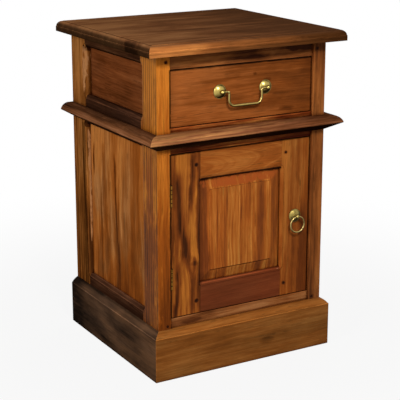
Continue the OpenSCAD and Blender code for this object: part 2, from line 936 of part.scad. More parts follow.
module pull_roses() {
    color(old_brass) at_posts() difference() {
        rose_body();
        translate([0, 0, -over]) cylinder(r = shank_r + peg_fit, h = rose_seat + 2 * over);
    }
}

// The bail's ends sit in blind holes that open towards the middle of the drawer
module pull_posts() {
    color(old_brass) for (side = [-1, 1]) {
        translate([side * bail_span / 2, y_face, pull_z]) rotate([90, 0, 0]) difference() {
            union() {
                eye_body();
                shank(front_t);
            }
            translate([side * bail_hole_l, 0, pull_out]) rotate([0, -side * 90, 0])
                cylinder(r = bail_end_r + pin_fit, h = ball_r + bail_hole_l + over);
        }
    }
}

module pull_nuts() { color(old_brass) at_posts() nut(front_t); }

// The right half of the bail, from its end in the post to the middle of the bar
module bail_half() {
    shoulder = bail_span / 2 - ball_r - run_gap;
    end_l = ball_r + bail_hole_l + run_gap;
    bend_x = bail_arm + bail_bend_r;
    corner_x = bail_arm - bail_corner_r;
    arm_l = bail_drop - bail_bend_r - bail_corner_r;
    knee = bail_bend_r * (1 - cos(45));
    translate([shoulder, 0, 0]) rotate([0, 90, 0]) cylinder(r = bail_end_r, h = end_l - run_gap);
    translate([bend_x, 0, 0]) rotate([0, 90, 0]) cylinder(r = bail_r, h = shoulder - bend_x);
    translate([bend_x, 0, -bail_bend_r]) rotate([90, 0, 0]) rotate(90) rotate_extrude(angle = 90)
        translate([bail_bend_r, 0]) circle(bail_r);
    translate([bail_arm + knee, 0, -knee]) sphere(bail_knee_r);
    translate([bail_arm, 0, -bail_bend_r - arm_l]) cylinder(r = bail_r, h = arm_l);
    translate([corner_x, 0, -bail_bend_r - arm_l]) rotate([90, 0, 0]) rotate(-90)
        rotate_extrude(angle = 90) translate([bail_corner_r, 0]) circle(bail_r);
    translate([0, 0, -bail_drop]) rotate([0, 90, 0]) cylinder(r1 = bail_mid_r, r2 = bail_r, h = corner_x);
}

module bail() {
    color(old_brass) translate([0, y_eye, pull_z]) on_both() bail_half();
}

// Places the ring pull on the lock stile
module at_eye() {
    translate([ring_x, y_face, eye_z]) rotate([90, 0, 0]) children();
}

module ring_plate() {
    color(old_brass) at_eye() difference() {
        union() {
            rose_body();
            eye_body();
            shank(door_t);
        }
        translate([-ball_r - over, 0, pull_out]) rotate([0, 90, 0])
            cylinder(r = ring_hole_r, h = 2 * (ball_r + over));
    }
}

module ring_nut() { color(old_brass) at_eye() nut(door_t); }

module ring() {
    color(old_brass) translate([ring_x, y_eye, eye_z - ring_r]) rotate([90, 0, 0])
        rotate_extrude() translate([ring_r, 0]) circle(ring_rod_r);
}

// Door

// Tenons of one door rail, or with a clearance its mortises
module door_tenon(span, gap) {
    board([-x_sight - door_tenon_l - gap, door_tenon_y - gap, span[0] + door_shoulder - gap],
        [x_sight + door_tenon_l + gap, door_tenon_y + tenon_t + gap, span[1] - door_shoulder + gap]);
}

top_rail_span = [z_sight1, z_leaf1];
bottom_rail_span = [z_leaf0, z_sight0];

module door_grooves() {
    y0 = y_face + tongue_recess;
    board([-x_sight - groove_l, y0 - fit, z_sight0 - groove_l],
        [x_sight + groove_l, y0 + tongue_t + fit, z_sight1 + groove_l]);
}

module door_edge() {
    translate([0, y_face, (z_sight0 + z_sight1) / 2]) rotate([90, 0, 0])
        routed_edge(2 * x_sight, z_sight1 - z_sight0, door_edge_r);
}

module door_peg_set(gap) {
    for (z = [z_leaf0 + door_peg_end, z_leaf1 - door_peg_end]) {
        for (side = [-1, 1]) {
            peg(side * (x_sight + door_peg_inset), y_face, z, gap);
        }
    }
}

module door_pegs() { color(dark_mahogany) door_peg_set(0); }

// A stile from x0 to x1 with its mortises, groove, routed edge and peg holes
module door_stile(x0, x1) {
    difference() {
        board([x0, y_face, z_leaf0], [x1, y_face + door_t, z_leaf1]);
        door_tenon(top_rail_span, fit);
        door_tenon(bottom_rail_span, fit);
        door_grooves();
        door_edge();
        door_peg_set(peg_fit);
    }
}

module door_stile_hinge() {
    color(golden_mahogany) difference() {
        door_stile(-x_leaf, -x_sight);
        for (z = hinge_levels) {
            board([-x_leaf - over, y_face - over, z - fit],
                [x_pin + knuckle_r, y_face + leaf_d + fit, z + hinge_l + fit]);
        }
    }
}

// The steel plate of the catch, or with a clearance its seat
module plate(gap) {
    translate([catch_at[0], y_face + door_t - plate_t, catch_at[1]]) rotate([-90, 0, 0])
        cylinder(r = plate_r + gap, h = plate_t + (gap > 0 ? over : 0));
}

module catch_plate() { color(steel) plate(0); }

module door_stile_lock() {
    color(mahogany) difference() {
        door_stile(x_sight, x_leaf);
        at_eye() translate([0, 0, -door_t - over]) cylinder(r = shank_r + peg_fit, h = door_t + 2 * over);
        plate(peg_fit);
    }
}

module door_rail(span) {
    difference() {
        union() {
            board([-x_sight, y_face, span[0]], [x_sight, y_face + door_t, span[1]]);
            door_tenon(span, 0);
        }
        door_grooves();
        door_edge();
        door_peg_set(peg_fit);
    }
}

module door_rail_top() { color(golden_mahogany) door_rail(top_rail_span); }
module door_rail_bottom() { color(red_mahogany) door_rail(bottom_rail_span); }

// Half of the raised panel's section: distance from the middle, and depth behind the face
function panel_half(half) = [
    [half - bevel_w, field_recess],
    [half - bevel_w, field_recess + field_step],
    [half, tongue_recess],
    [half + groove_l - panel_play, tongue_recess],
    [half + groove_l - panel_play, tongue_recess + tongue_t]];

// The whole section, from its right half and the mirrored left half
function panel_points(half) = let (p = panel_half(half), n = len(p))
    concat(p, [for (k = [1:n]) [-p[n - k][0], p[n - k][1]]]);

module door_panel() {
    high = (z_sight1 - z_sight0) / 2;
    mid = (z_sight1 + z_sight0) / 2;
    color(mahogany) translate([0, y_face, mid]) intersection() {
        linear_extrude(2 * (high + groove_l), center = true) polygon(panel_points(x_sight));
        rotate([90, 0, 90]) linear_extrude(2 * (x_sight + groove_l), center = true)
            polygon([for (p = panel_points(high)) [p[1], p[0]]]);
    }
}

top_board();
post_front_left();
post_front_right();
post_rear_left();
post_rear_right();
side_rail_top_left();
side_rail_top_right();
side_rail_middle_left();
side_rail_middle_right();
side_rail_bottom_left();
side_rail_bottom_right();
side_panel_upper_left();
side_panel_upper_right();
side_panel_lower_left();
side_panel_lower_right();
front_rail_top();
front_rail_middle();
front_rail_bottom();
rear_rail_top();
rear_rail_middle();
rear_rail_bottom();
back_panel();
waist_moulding_front();
waist_moulding_left();
waist_moulding_right();
plinth_front();
plinth_left();
plinth_right();
plinth_rear();
cupboard_floor();
floor_bearers();
dust_panel();
drawer_runners();
drawer_kickers();
drawer_stops();
carcass_pegs();
door_stop();
catch_magnet();
hinge_frame_leaves();
hinge_pins();
drawer_front();
drawer_side_left();
drawer_side_right();
drawer_back();
drawer_bottom();
pull_roses();
pull_posts();
pull_nuts();
bail();
door_stile_hinge();
door_stile_lock();
door_rail_top();
door_rail_bottom();
door_panel();
door_pegs();
hinge_door_leaves();
catch_plate();
ring_plate();
ring_nut();
ring();
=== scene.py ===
import math

import bmesh
import bpy
from mathutils import Matrix, Vector


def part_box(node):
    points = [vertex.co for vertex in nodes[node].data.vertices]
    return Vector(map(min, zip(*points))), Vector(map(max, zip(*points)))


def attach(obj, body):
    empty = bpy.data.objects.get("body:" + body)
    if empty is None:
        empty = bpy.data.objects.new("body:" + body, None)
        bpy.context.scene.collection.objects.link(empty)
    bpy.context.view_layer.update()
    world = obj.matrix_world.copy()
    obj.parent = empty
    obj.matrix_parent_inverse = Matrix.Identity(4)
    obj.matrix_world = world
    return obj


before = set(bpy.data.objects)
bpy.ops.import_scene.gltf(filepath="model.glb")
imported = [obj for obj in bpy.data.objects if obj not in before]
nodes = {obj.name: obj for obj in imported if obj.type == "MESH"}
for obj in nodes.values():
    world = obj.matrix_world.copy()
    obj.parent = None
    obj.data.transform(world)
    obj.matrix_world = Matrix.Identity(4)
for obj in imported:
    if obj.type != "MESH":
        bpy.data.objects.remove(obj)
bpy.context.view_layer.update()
scene = bpy.context.scene


# Shader maths

def paint(code):    # a web colour as the linear colour that a shader takes
    parts = [int(code[i:i + 2], 16) / 255 for i in (1, 3, 5)]
    return tuple(c / 12.92 if c <= 0.04045 else ((c + 0.055) / 1.055) ** 2.4 for c in parts) + (1,)


class Wire:         # one output of a shader node, used in sums like a number
    def __init__(self, graph, socket):
        self.graph = graph
        self.socket = socket

    def join(self, operation, other, swapped=False):    # one sum of numbers, vectors or colours
        pair = [other, self] if swapped else [self, other]
        kinds = {x.socket.type for x in pair if isinstance(x, Wire)}
        if "RGBA" in kinds:
            pair = [x if isinstance(x, (Wire, tuple)) else (x, x, x, 1) for x in pair]
            blend = {"data_type": "RGBA", "blend_type": operation}
            return self.graph.node("Mix", blend, {0: 1, 6: pair[0], 7: pair[1]}, 2)
        if "VECTOR" in kinds:
            pair = [x if isinstance(x, (Wire, tuple)) else (x, x, x) for x in pair]
            return self.graph.node("VectorMath", {"operation": operation}, {0: pair[0], 1: pair[1]})
        return self.graph.node("Math", {"operation": operation}, {0: pair[0], 1: pair[1]})

    def __add__(self, other):
        return self.join("ADD", other)

    def __radd__(self, other):
        return self.join("ADD", other, True)

    def __sub__(self, other):
        return self.join("SUBTRACT", other)

    def __rsub__(self, other):
        return self.join("SUBTRACT", other, True)

    def __mul__(self, other):
        return self.join("MULTIPLY", other)

    def __rmul__(self, other):
        return self.join("MULTIPLY", other, True)

    def __truediv__(self, other):
        return self.join("DIVIDE", other)

    def __rtruediv__(self, other):
        return self.join("DIVIDE", other, True)

    def __pow__(self, other):
        return self.join("POWER", other)

    def __rpow__(self, other):
        return self.join("POWER", other, True)

    def over(self, other):      # the larger of two values
        return self.join("MAXIMUM", other)

    def size(self):             # a value without its sign
        return self.graph.node("Math", {"operation": "ABSOLUTE"}, {0: self})

    def rise(self, low, high):  # 0 below low, 1 above high, smooth between
        settings = {"interpolation_type": "SMOOTHSTEP"}
        return self.graph.node("MapRange", settings, {0: self, 1: low, 2: high, 3: 0, 4: 1})

    def near(self, width, full=0):      # 1 at 0 and for the full share of the width, 0 beyond the width
        return 1 - (self.size() / width).rise(full, 1)

    def within(self, low, high, outer, inner):  # 1 from low to high, faded that far outside and inside
        return self.rise(low - outer, low + inner) * (1 - self.rise(high - inner, high + outer))


class Graph:        # the nodes of one material or of the sky
    def __init__(self, tree):
        self.tree = tree

    def node(self, kind, settings=None, inputs=None, output=0):
        made = self.tree.nodes.new("ShaderNode" + kind)
        for key, value in (settings or {}).items():
            if key == "stops":
                fillRamp(made.color_ramp, value)
            else:
                setattr(made, key, value)
        for key, value in (inputs or {}).items():
            if isinstance(value, Wire):
                self.link(value, made.inputs[key])
            else:
                made.inputs[key].default_value = value
        return Wire(self, made.outputs[output])

    def link(self, wire, socket):
        self.tree.links.new(wire.socket, socket)

    def seen(self):     # 1 where the camera looks, straight, in a mirror or through glass
        rays = self.node("LightPath").socket.node.outputs
        names = ("Is Camera Ray", "Is Glossy Ray", "Is Transmission Ray")
        camera, glossy, through = (Wire(self, rays[name]) for name in names)
        clamped = {"operation": "ADD", "use_clamp": True}
        return self.node("Math", clamped, {0: camera + glossy, 1: through})


class Finish(Graph):    # one material with its shader
    def __init__(self, name, **constants):
        self.material = bpy.data.materials.new(name)
        self.material.use_nodes = True
        super().__init__(self.material.node_tree)
        self.shader = self.tree.nodes["Principled BSDF"]
        for socket, value in constants.items():
            self.shader.inputs[socket.replace("_", " ")].default_value = value

    def noise(self, vector, detail, roughness, scale=1):
        inputs = {"Vector": vector, "Scale": scale, "Detail": detail, "Roughness": roughness}
        return self.node("TexNoise", None, inputs)

    def noiseAlong(self, value, detail, roughness):     # a noise over one number only
        inputs = {"W": value, "Scale": 1, "Detail": detail, "Roughness": roughness}
        return self.node("TexNoise", {"noise_dimensions": "1D"}, inputs)

    def split(self, kind):      # the x, y and z of a texture coordinate
        place = self.node("TexCoord", output=kind)
        return [self.node("SeparateXYZ", None, {0: place}, i) for i in range(3)]

    def blend(self, share, first, second):
        return self.node("Mix", {"data_type": "RGBA"}, {0: share, 6: first, 7: second}, 2)

    def corner(self, distance, samples):    # 0 in narrow corners, 1 in the open
        return self.node("AmbientOcclusion", {"samples": samples}, {"Distance": distance}, "AO")

    def feed(self, socket, wire):
        self.link(wire, self.shader.inputs[socket])


def fillRamp(ramp, stops):
    while len(ramp.elements) < len(stops):
        ramp.elements.new(0.5)
    for element, (place, colour) in zip(ramp.elements, stops):
        element.position = place
        element.color = colour


# Wood

axisNumber = {"x": 0, "y": 1, "z": 2}
everywhere = (-1, 1)    # from and to of a line that runs over the whole board
sideSeedStep = 0.47     # how far apart the left and the right board lie in the noises

# What a board has where its own settings say nothing else. Lengths are in metres.
plainBoard = {
    "along": "z",               # direction of the grain
    "face": "y",                # direction that its show face looks
    "colours": ["#6b3613", "#91501f", "#b27236"],   # dark, middle and light
    "tint": (0.8, 0.95, 1.25),  # what the colour is multiplied by in the duller patches
    "tintShare": 0.35,          # how much of that tint the duller patches take
    "tintFade": 0.0,            # how much more of it in a metre along the grain
    "pith": (0.12, 0.09),       # from the board's middle to the heart of the tree, across and deep
    "lean": (0.01, 0.02),       # how the tree leaned in the board, across and deep
    "bands": 90,                # growth bands in a metre
    "wander": 0.004,            # how far the bands stray
    "drift": 0.012,             # how far all the grain drifts sideways
    "knots": [],                # along, across, length, width, push
    "bandTone": 1.0,            # strengths of the bands, the wide and narrow streaks and the patches
    "wideTone": 1.0,
    "narrowTone": 1.5,
    "patchTone": 0.8,
    "shift": 0.0,               # lighter above 0, darker below
    "lightFade": (0.0, 0.0),         # how much lighter in a metre, along and across: a painted falloff of light
    "fibre": 0.4,               # strength of the fine fibres
    "hair": 0.45,               # strength of the dark hairlines
    "cornerShade": (0.26, 0.17, 0.12),    # what the colour is multiplied by in the corners: painted shade
    "deepLines": 60,            # fine lines in a metre on the faces at right angles to the show face
    "reach": 0.012,             # how far that painted corner shade reaches out of a corner
    "edge": -0.35,              # darker edges below 0, for dark joints; lighter ones above, a painted highlight along the arrises, partly wear
    "soft": 0.0012,             # radius that wear has given the edges
    "under": 0.2,               # what is left of the colour on undersides: painted shade
    "end": 0.55,                # what is left of the colour on end grain
    "flank": None,              # what the colour of the side that looks left is multiplied by: painted shade
    "front": None,              # what the colour of an edge that looks forward is multiplied by: painted light
    "frontFade": 0.0,           # how much lighter that painted light gets in a metre to the right
    "gloss": 0.03,              # specular level
    "rough": 0.4,               # roughness
    "seed": 0.0,                # where in the noises the board lies
    "streaks": [],              # across, lean, bend, width, tone, from, to
    "spots": [],                # along, across, length, width, tone
    "lines": [],                # axis, place, width, strength, from, to of thin lines, paler above 0: grain, painted shade and painted highlights
    "rimLines": [],             # distance from the board's outer edge, width, strength of lines along the rim: painted highlight and shade
    "glintsAndWear": [],                 # along, across, length, width of pale places: painted glints, partly wear through the finish
    "glintColour": "#b98058",          # colour of those glints and of the wood laid open there
    "glintTone": 1.3,            # what the colour is multiplied by between the pale places there
}

# The noises of all boards: how often they repeat in a metre along, across and deep, detail and roughness
woodNoises = {
    "drift": ((4, 9, 9), 2, 0.5),
    "sway": ((5, 12, 12), 3, 0.55),
    "wide": ((3, 60, 25), 3, 0.6),
    "narrow": ((6, 230, None), 4, 0.74),    # None stands for the board's deepLines
    "patch": ((7, 20, 20), 3, 0.55),
    "mottle": ((30, 60, 60), 3, 0.6),
    "fibre": ((25, 700, 700), 2, 0.65),
    "pore": ((70, 1900, 1900), 1, 0.5),
    "dull": ((5, 16, 16), 3, 0.55),
}

# From which value of its noise, or of the way a face looks, each mark begins, and where it is full
woodLimits = {
    "endGrain": (0.5, 0.95), "under": (0.2, 0.6), "flank": (0.5, 0.95), "front": (0.3, 0.95),
    "corner": (0.3, 0.85), "edge": (0.002, 0.16), "spot": (0, 1.2), "glintsAndWear": (0.1, 0.6),
    "pore": (0.6, 0.72), "hair": (0.52, 0.66), "hairPatch": (0.42, 0.6), "dull": (0.42, 0.66),
    "streakNarrow": (0.35, 0.65), "streakWide": (0.3, 0.6),
    "linePatch": (0.2, 0.5), "glintPatch": (0.45, 0.7),
}

woodLook = {
    "tones": (0.12, 0.5, 0.88),     # tones of the dark, middle and light colour
    "bandNoise": (4, 0.65),         # detail and roughness of the growth bands
    "bandSeed": 3.7,                # how far apart the seeds put the boards in the noise of the bands
    "dullSeed": 9,                  # keeps the duller patches apart from the other noises
    "strayRange": 4,                # brings the noise of the wander to about 1 either way
    "strayDeep": 70,                # how the wander moves the wide streaks
    "knotSoft": 0.3,                # keeps the grain from folding in the middle of a knot
    "endFigure": 0.8,               # how much of the figure is lost on end grain
    "endMottle": 1.8,               # how much the mottle shows there
    "streakWobble": 0.01,           # how far the mottle pushes a streak aside
    "streakEnds": (0.03, 0.02),     # how far a streak fades outside and inside its ends
    "streakShares": (0.7, 0.5, 0.1),    # narrow lines, wide lines and plain tone in a streak
    "spotRagged": 2.4,              # how much the mottle frays a spot
    "poreDark": 0.16,               # what a pore takes from the colour
    "lineFull": 0.2,                # share of a thin line's width that is full
    "lineEnds": 0.001,              # how softly it ends
    "glintReach": 1.2,               # how far a pale place goes past its length and width
    "glintRagged": (4, 1.5),         # how much the mottle and the narrow streaks fray it
    "fibreRough": 0.16,             # what fibres and pores change the roughness by
    "poreRough": 0.1,
    "relief": (0.35, 0.00012),      # strength and depth of the bump
    "fibreHeight": 0.6,             # heights in it, where the depth of a pore is 1
    "bandHeight": 0.3,
    "cornerSamples": 6,             # rays that look for corners and edges
    "edgeSamples": 4,
}


class Board(Finish):    # the finish of one board, painted in the board's own directions
    def __init__(self, name, settings, box):
        self.look = {**plainBoard, **settings}
        super().__init__(name, Specular_IOR_Level=self.look["gloss"])
        self.parts = self.split("Object")
        self.facing = self.split("Normal")
        self.middle = [(low + high) / 2 for low, high in zip(*box)]
        self.half = [high - middle for high, middle in zip(box[1], self.middle)]
        self.alongAxis = axisNumber[self.look["along"]]
        self.faceAxis = axisNumber[self.look["face"]]
        self.acrossAxis = sum(axisNumber.values()) - self.alongAxis - self.faceAxis
        self.along = self.parts[self.alongAxis]
        self.straight = self.across = self.parts[self.acrossAxis]
        self.deep = self.parts[self.faceAxis]
        self.fromMiddle = self.along - self.middle[self.alongAxis]
        self.endGrain = self.facing[self.alongAxis].size().rise(*woodLimits["endGrain"])

        # From here on, across follows the bent grain, and straight does not
        seed = self.look["seed"]
        self.across = self.bentGrain(seed)
        sway = self.spread("sway", 0, 0, seed)
        self.stray = (sway - 0.5) * self.look["wander"] * woodLook["strayRange"]
        self.bands = self.growthBands(seed)
        self.wide = self.spread("wide", 0, seed, self.stray * woodLook["strayDeep"])
        self.narrow = self.spread("narrow", 0, seed, 0)
        self.patch = self.spread("patch", seed, 0, 0)
        self.mottle = self.spread("mottle", 0, seed, 0)
        self.fibre = self.spread("fibre", 0, seed, 0)
        self.pores = self.spread("pore", 0, seed, 0).rise(*woodLimits["pore"])
        self.dull = self.spread("dull", 0, seed + woodLook["dullSeed"], 0)

    def spread(self, kind, *shift):     # one of woodNoises over the board, moved along, across and deep
        often, detail, roughness = woodNoises[kind]
        rates = [self.look["deepLines"] if rate is None else rate for rate in often]
        places = zip((self.along, self.across, self.deep), rates, shift)
        moved = [place * rate + by if by else place * rate for place, rate, by in places]
        return self.noise(self.node("CombineXYZ", None, dict(enumerate(moved))), detail, roughness)

    def bentGrain(self, seed):      # the place across a grain that drifts a little and bends round knots
        across = self.straight + (self.spread("drift", seed, 0, 0) - 0.5) * self.look["drift"]
        for alongAt, acrossAt, length, width, push in self.look["knots"]:
            far = (self.along - alongAt) / length
            side = (self.straight - acrossAt) / width
            across = across - side / (side * side + woodLook["knotSoft"]) / (far * far + 1) ** 2 * push
        return across

    def growthBands(self, seed):    # rings round the heart of the tree, bands and flames in the board
        slant = [self.fromMiddle * lean for lean in self.look["lean"]]
        pith = self.look["pith"]
        acrossHeart = self.across - (self.middle[self.acrossAxis] + pith[0]) - slant[0] + self.stray
        deepHeart = self.deep - (self.middle[self.faceAxis] + pith[1]) - slant[1] + self.stray
        radius = (acrossHeart * acrossHeart + deepHeart * deepHeart) ** 0.5
        place = radius * self.look["bands"] + seed * woodLook["bandSeed"]
        return self.noiseAlong(place, *woodLook["bandNoise"])

    def tone(self):     # how light the wood is, from 0 to 1
        look = self.look
        tone = (self.bands - 0.5) * look["bandTone"] + (self.wide - 0.5) * look["wideTone"]
        tone = tone + (self.narrow - 0.5) * look["narrowTone"] + (self.patch - 0.5) * look["patchTone"]
        tone = tone * (1 - self.endGrain * woodLook["endFigure"]) + (0.5 + look["shift"])
        # A painted falloff of light: the board gets lighter towards one end or side
        if any(look["lightFade"]):
            fromSide = self.straight - self.middle[self.acrossAxis]
            tone = tone + self.fromMiddle * look["lightFade"][0] + fromSide * look["lightFade"][1]
        narrowShare, wideShare, plainShare = woodLook["streakShares"]
        for at, lean, bend, width, strength, start, end in look["streaks"]:
            far = self.along - start
            wobble = (self.mottle - 0.5) * woodLook["streakWobble"]
            offset = self.across - at - far * lean - far * far * bend + wobble
            ends = self.along.within(start, end, *woodLook["streakEnds"])
            lines = self.narrow.rise(*woodLimits["streakNarrow"]) * narrowShare
            lines = lines + self.wide.rise(*woodLimits["streakWide"]) * wideShare + plainShare
            tone = tone + offset.near(width) * ends * lines * strength
        for alongAt, acrossAt, length, width, strength in look["spots"]:
            reach = ((self.along - alongAt) / length) ** 2 + ((self.straight - acrossAt) / width) ** 2
            ragged = reach + (self.mottle - 0.5) * woodLook["spotRagged"]
            tone = tone + (1 - ragged.rise(*woodLimits["spot"])) * strength
        return tone

    def plainColour(self):      # the colours of the tone, duller patches, fibres, pores and hairlines
        look = self.look
        stops = list(zip(woodLook["tones"], [paint(code) for code in look["colours"]]))
        colour = self.node("ValToRGB", {"stops": stops}, {0: self.tone()})
        tintShare = self.fromMiddle * look["tintFade"] + look["tintShare"]
        dullShare = self.dull.rise(*woodLimits["dull"]) * tintShare
        colour = self.blend(dullShare, colour, colour * (*look["tint"], 1))
        hair = self.narrow.rise(*woodLimits["hair"]) * self.mottle.rise(*woodLimits["hairPatch"])
        fine = 1 + (self.fibre - 0.5) * look["fibre"] * 2 - self.pores * woodLook["poreDark"]
        return colour * (fine - hair * look["hair"])

    def turnedColour(self, colour):     # end grain, and painted light: shade on undersides and on the side that looks left, light on edges that look forward
        look = self.look
        facingX, facingY, facingZ = self.facing
        colour = colour * (1 - self.endGrain * (1 - look["end"]))
        colour = colour * (1 + self.endGrain * (self.mottle - 0.5) * woodLook["endMottle"])
        # Painted shade on the undersides
        colour = colour * (1 - (0 - facingZ).rise(*woodLimits["under"]) * (1 - look["under"]))
        # Painted shade on the side that looks left
        if look["flank"]:
            share = (0 - facingX).rise(*woodLimits["flank"])
            colour = self.blend(share, colour, colour * (*look["flank"], 1))
        # Painted light on the edge that looks forward, fading to one side
        if look["front"]:
            right = self.parts[0] - self.middle[0]
            front = colour * (*look["front"], 1) * (1 + right * look["frontFade"])
            colour = self.blend((0 - facingY).rise(*woodLimits["front"]), colour, front)
        return colour

    def cornerAndEdgeColour(self, colour, rounded):      # painted shade in the corners, dark joints and painted highlights on the edges
        look = self.look
        # Painted shade: darker in the corners that the ambient occlusion finds
        corner = self.corner(look["reach"], woodLook["cornerSamples"])
        colour = self.blend(corner.rise(*woodLimits["corner"]), colour * (*look["cornerShade"], 1), colour)
        # Darker edges are dark joints; lighter ones are a painted highlight along the arrises, partly wear
        flat = self.node("NewGeometry", output="Normal")
        turn = 1 - self.node("VectorMath", {"operation": "DOT_PRODUCT"}, {0: rounded, 1: flat}, "Value")
        return colour * (1 + turn.rise(*woodLimits["edge"]) * look["edge"])

    def linedColour(self, colour):      # thin lines in steps and gaps, on an axis or beside the rim: grain, painted shade and painted highlights
        look = self.look
        lines = []
        for axis, at, width, strength, start, end in look["lines"]:
            run = self.straight if axis == look["along"] else self.along
            lines.append((self.parts[axisNumber[axis]] - at, width, strength, run, start, end))
        if look["rimLines"]:
            beyond = [(self.parts[i] - self.middle[i]).size() - self.half[i] for i in (0, 1)]
            inside = 0 - beyond[0].over(beyond[1])
            for at, width, strength in look["rimLines"]:
                lines.append((inside - at, width, strength, self.along, *everywhere))
        for offset, width, strength, run, start, end in lines:
            share = offset.near(width, woodLook["lineFull"]) * self.mottle.rise(*woodLimits["linePatch"])
            share = share * run.within(start, end, woodLook["lineEnds"], woodLook["lineEnds"])
            colour = colour * (1 + share * strength)
        return colour

    def glintsAndWearColour(self, colour):       # pale places: painted glints, partly wear through the finish
        look = self.look
        mottled, streaked = woodLook["glintRagged"]
        for alongAt, acrossAt, length, width in look["glintsAndWear"]:
            reach = ((self.along - alongAt) / length) ** 4 + ((self.straight - acrossAt) / width) ** 2
            ragged = woodLook["glintReach"] - reach + (self.mottle - 0.5) * mottled
            ragged = ragged + (self.narrow - 0.5) * streaked
            glintPatch = self.mottle.rise(*woodLimits["glintPatch"])
            glintColour = self.blend(glintPatch, paint(look["glintColour"]), colour * look["glintTone"])
            colour = self.blend(ragged.rise(*woodLimits["glintsAndWear"]), colour, glintColour)
        return colour

    def paintAll(self):
        look = self.look
        rounded = self.node("Bevel", {"samples": woodLook["edgeSamples"]}, {"Radius": look["soft"]})
        colour = self.cornerAndEdgeColour(self.turnedColour(self.plainColour()), rounded)
        self.feed("Base Color", self.glintsAndWearColour(self.linedColour(colour)))
        fibreRough = woodLook["fibreRough"]
        roughness = (1 - self.fibre) * fibreRough + self.pores * woodLook["poreRough"]
        self.feed("Roughness", roughness + (look["rough"] - fibreRough / 2))
        height = self.fibre * woodLook["fibreHeight"] - self.pores + self.bands * woodLook["bandHeight"]
        strength, depth = woodLook["relief"]
        bump = {"Strength": strength, "Distance": depth, "Height": height, "Normal": rounded}
        self.feed("Normal", self.node("Bump", None, bump))
        return self.material


def dress(node, material):
    for slot in nodes[node].material_slots:
        slot.material = material


def pegMarks(name, peg):    # dark spots at the four pegs of a frame, for the boards that hold the pegs
    low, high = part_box(name)
    heights = (low.z + peg["radius"], high.z - peg["radius"])
    sides = (low.x + peg["radius"], high.x - peg["radius"])
    return [(z, x, peg["reach"], peg["reach"], peg["tone"]) for z in heights for x in sides]


def growthLines(rings):     # thin lines at even steps, of the strengths given in turn
    tones = rings["tones"]
    return [(rings["axis"], rings["start"] + rings["step"] * number, rings["width"],
             tones[number % len(tones)], rings["low"], rings["high"])
            for number in range(rings["count"])]


peg = {"radius": 0.0028, "reach": 0.0055, "tone": -0.7}     # the peg, and the dark wax round it
carcassMarks = pegMarks("carcass_pegs", peg)
doorMarks = pegMarks("door_pegs", peg)

# Growth rings on the left side of the near post
nearRings = {
    "axis": "y", "start": -0.182, "step": 0.0082, "count": 8, "width": 0.0026, "low": 0.1, "high": 0.68,
    "tones": (-0.65, -0.4, -0.55),
}

# What several boards share
sideWood = {"along": "y", "face": "x", "gloss": 0.0}
rearWood = {"along": "x", "colours": ["#4e2e16", "#74461f", "#956538"]}
brownWood = {"colours": ["#5a3417", "#7d4c26", "#9b6a3e"]}
insideWood = {
    "colours": ["#8a6238", "#b28a5a", "#cea678"], "tint": (0.92, 0.96, 1.0), "under": 0.8, "end": 0.8,
}

topBoards = {
    # Painted light: the edge that looks forward is lighter to the left, the lines along the rim and the
    # arris are painted highlight and shade, the dark band low on the left end is painted shade, and the
    # lighter left and back are a painted falloff of light
    "top_board": {
        "along": "x", "face": "z", "colours": ["#573620", "#714629", "#8e5f3a"], "pith": (0.3, 0.2),
        "bands": 60, "seed": 3.1, "edge": 0.3, "soft": 0.0018, "gloss": 0.0, "rough": 0.5,
        "lightFade": (-1.7, 0.45), "bandTone": 0.5, "narrowTone": 1.0, "wideTone": 0.8, "patchTone": 1.4,
        "shift": -0.09, "tint": (0.85, 0.95, 1.05), "front": (1.5, 1.28, 0.85), "frontFade": -2.5,
        "end": 0.22, "drift": 0.02,
        "spots": [(-0.233, -0.14, 0.012, 0.035, -0.9), (-0.233, -0.05, 0.010, 0.05, 0.5)],
        "rimLines": [(0.0134, 0.0017, 0.75), (0.0112, 0.0014, -0.6)],
        "lines": [("z", 0.688, 0.0012, 0.45, *everywhere), ("z", 0.6835, 0.0014, -0.35, *everywhere),
                  ("z", 0.677, 0.009, -0.4, -1, -0.2322)],
    },
}

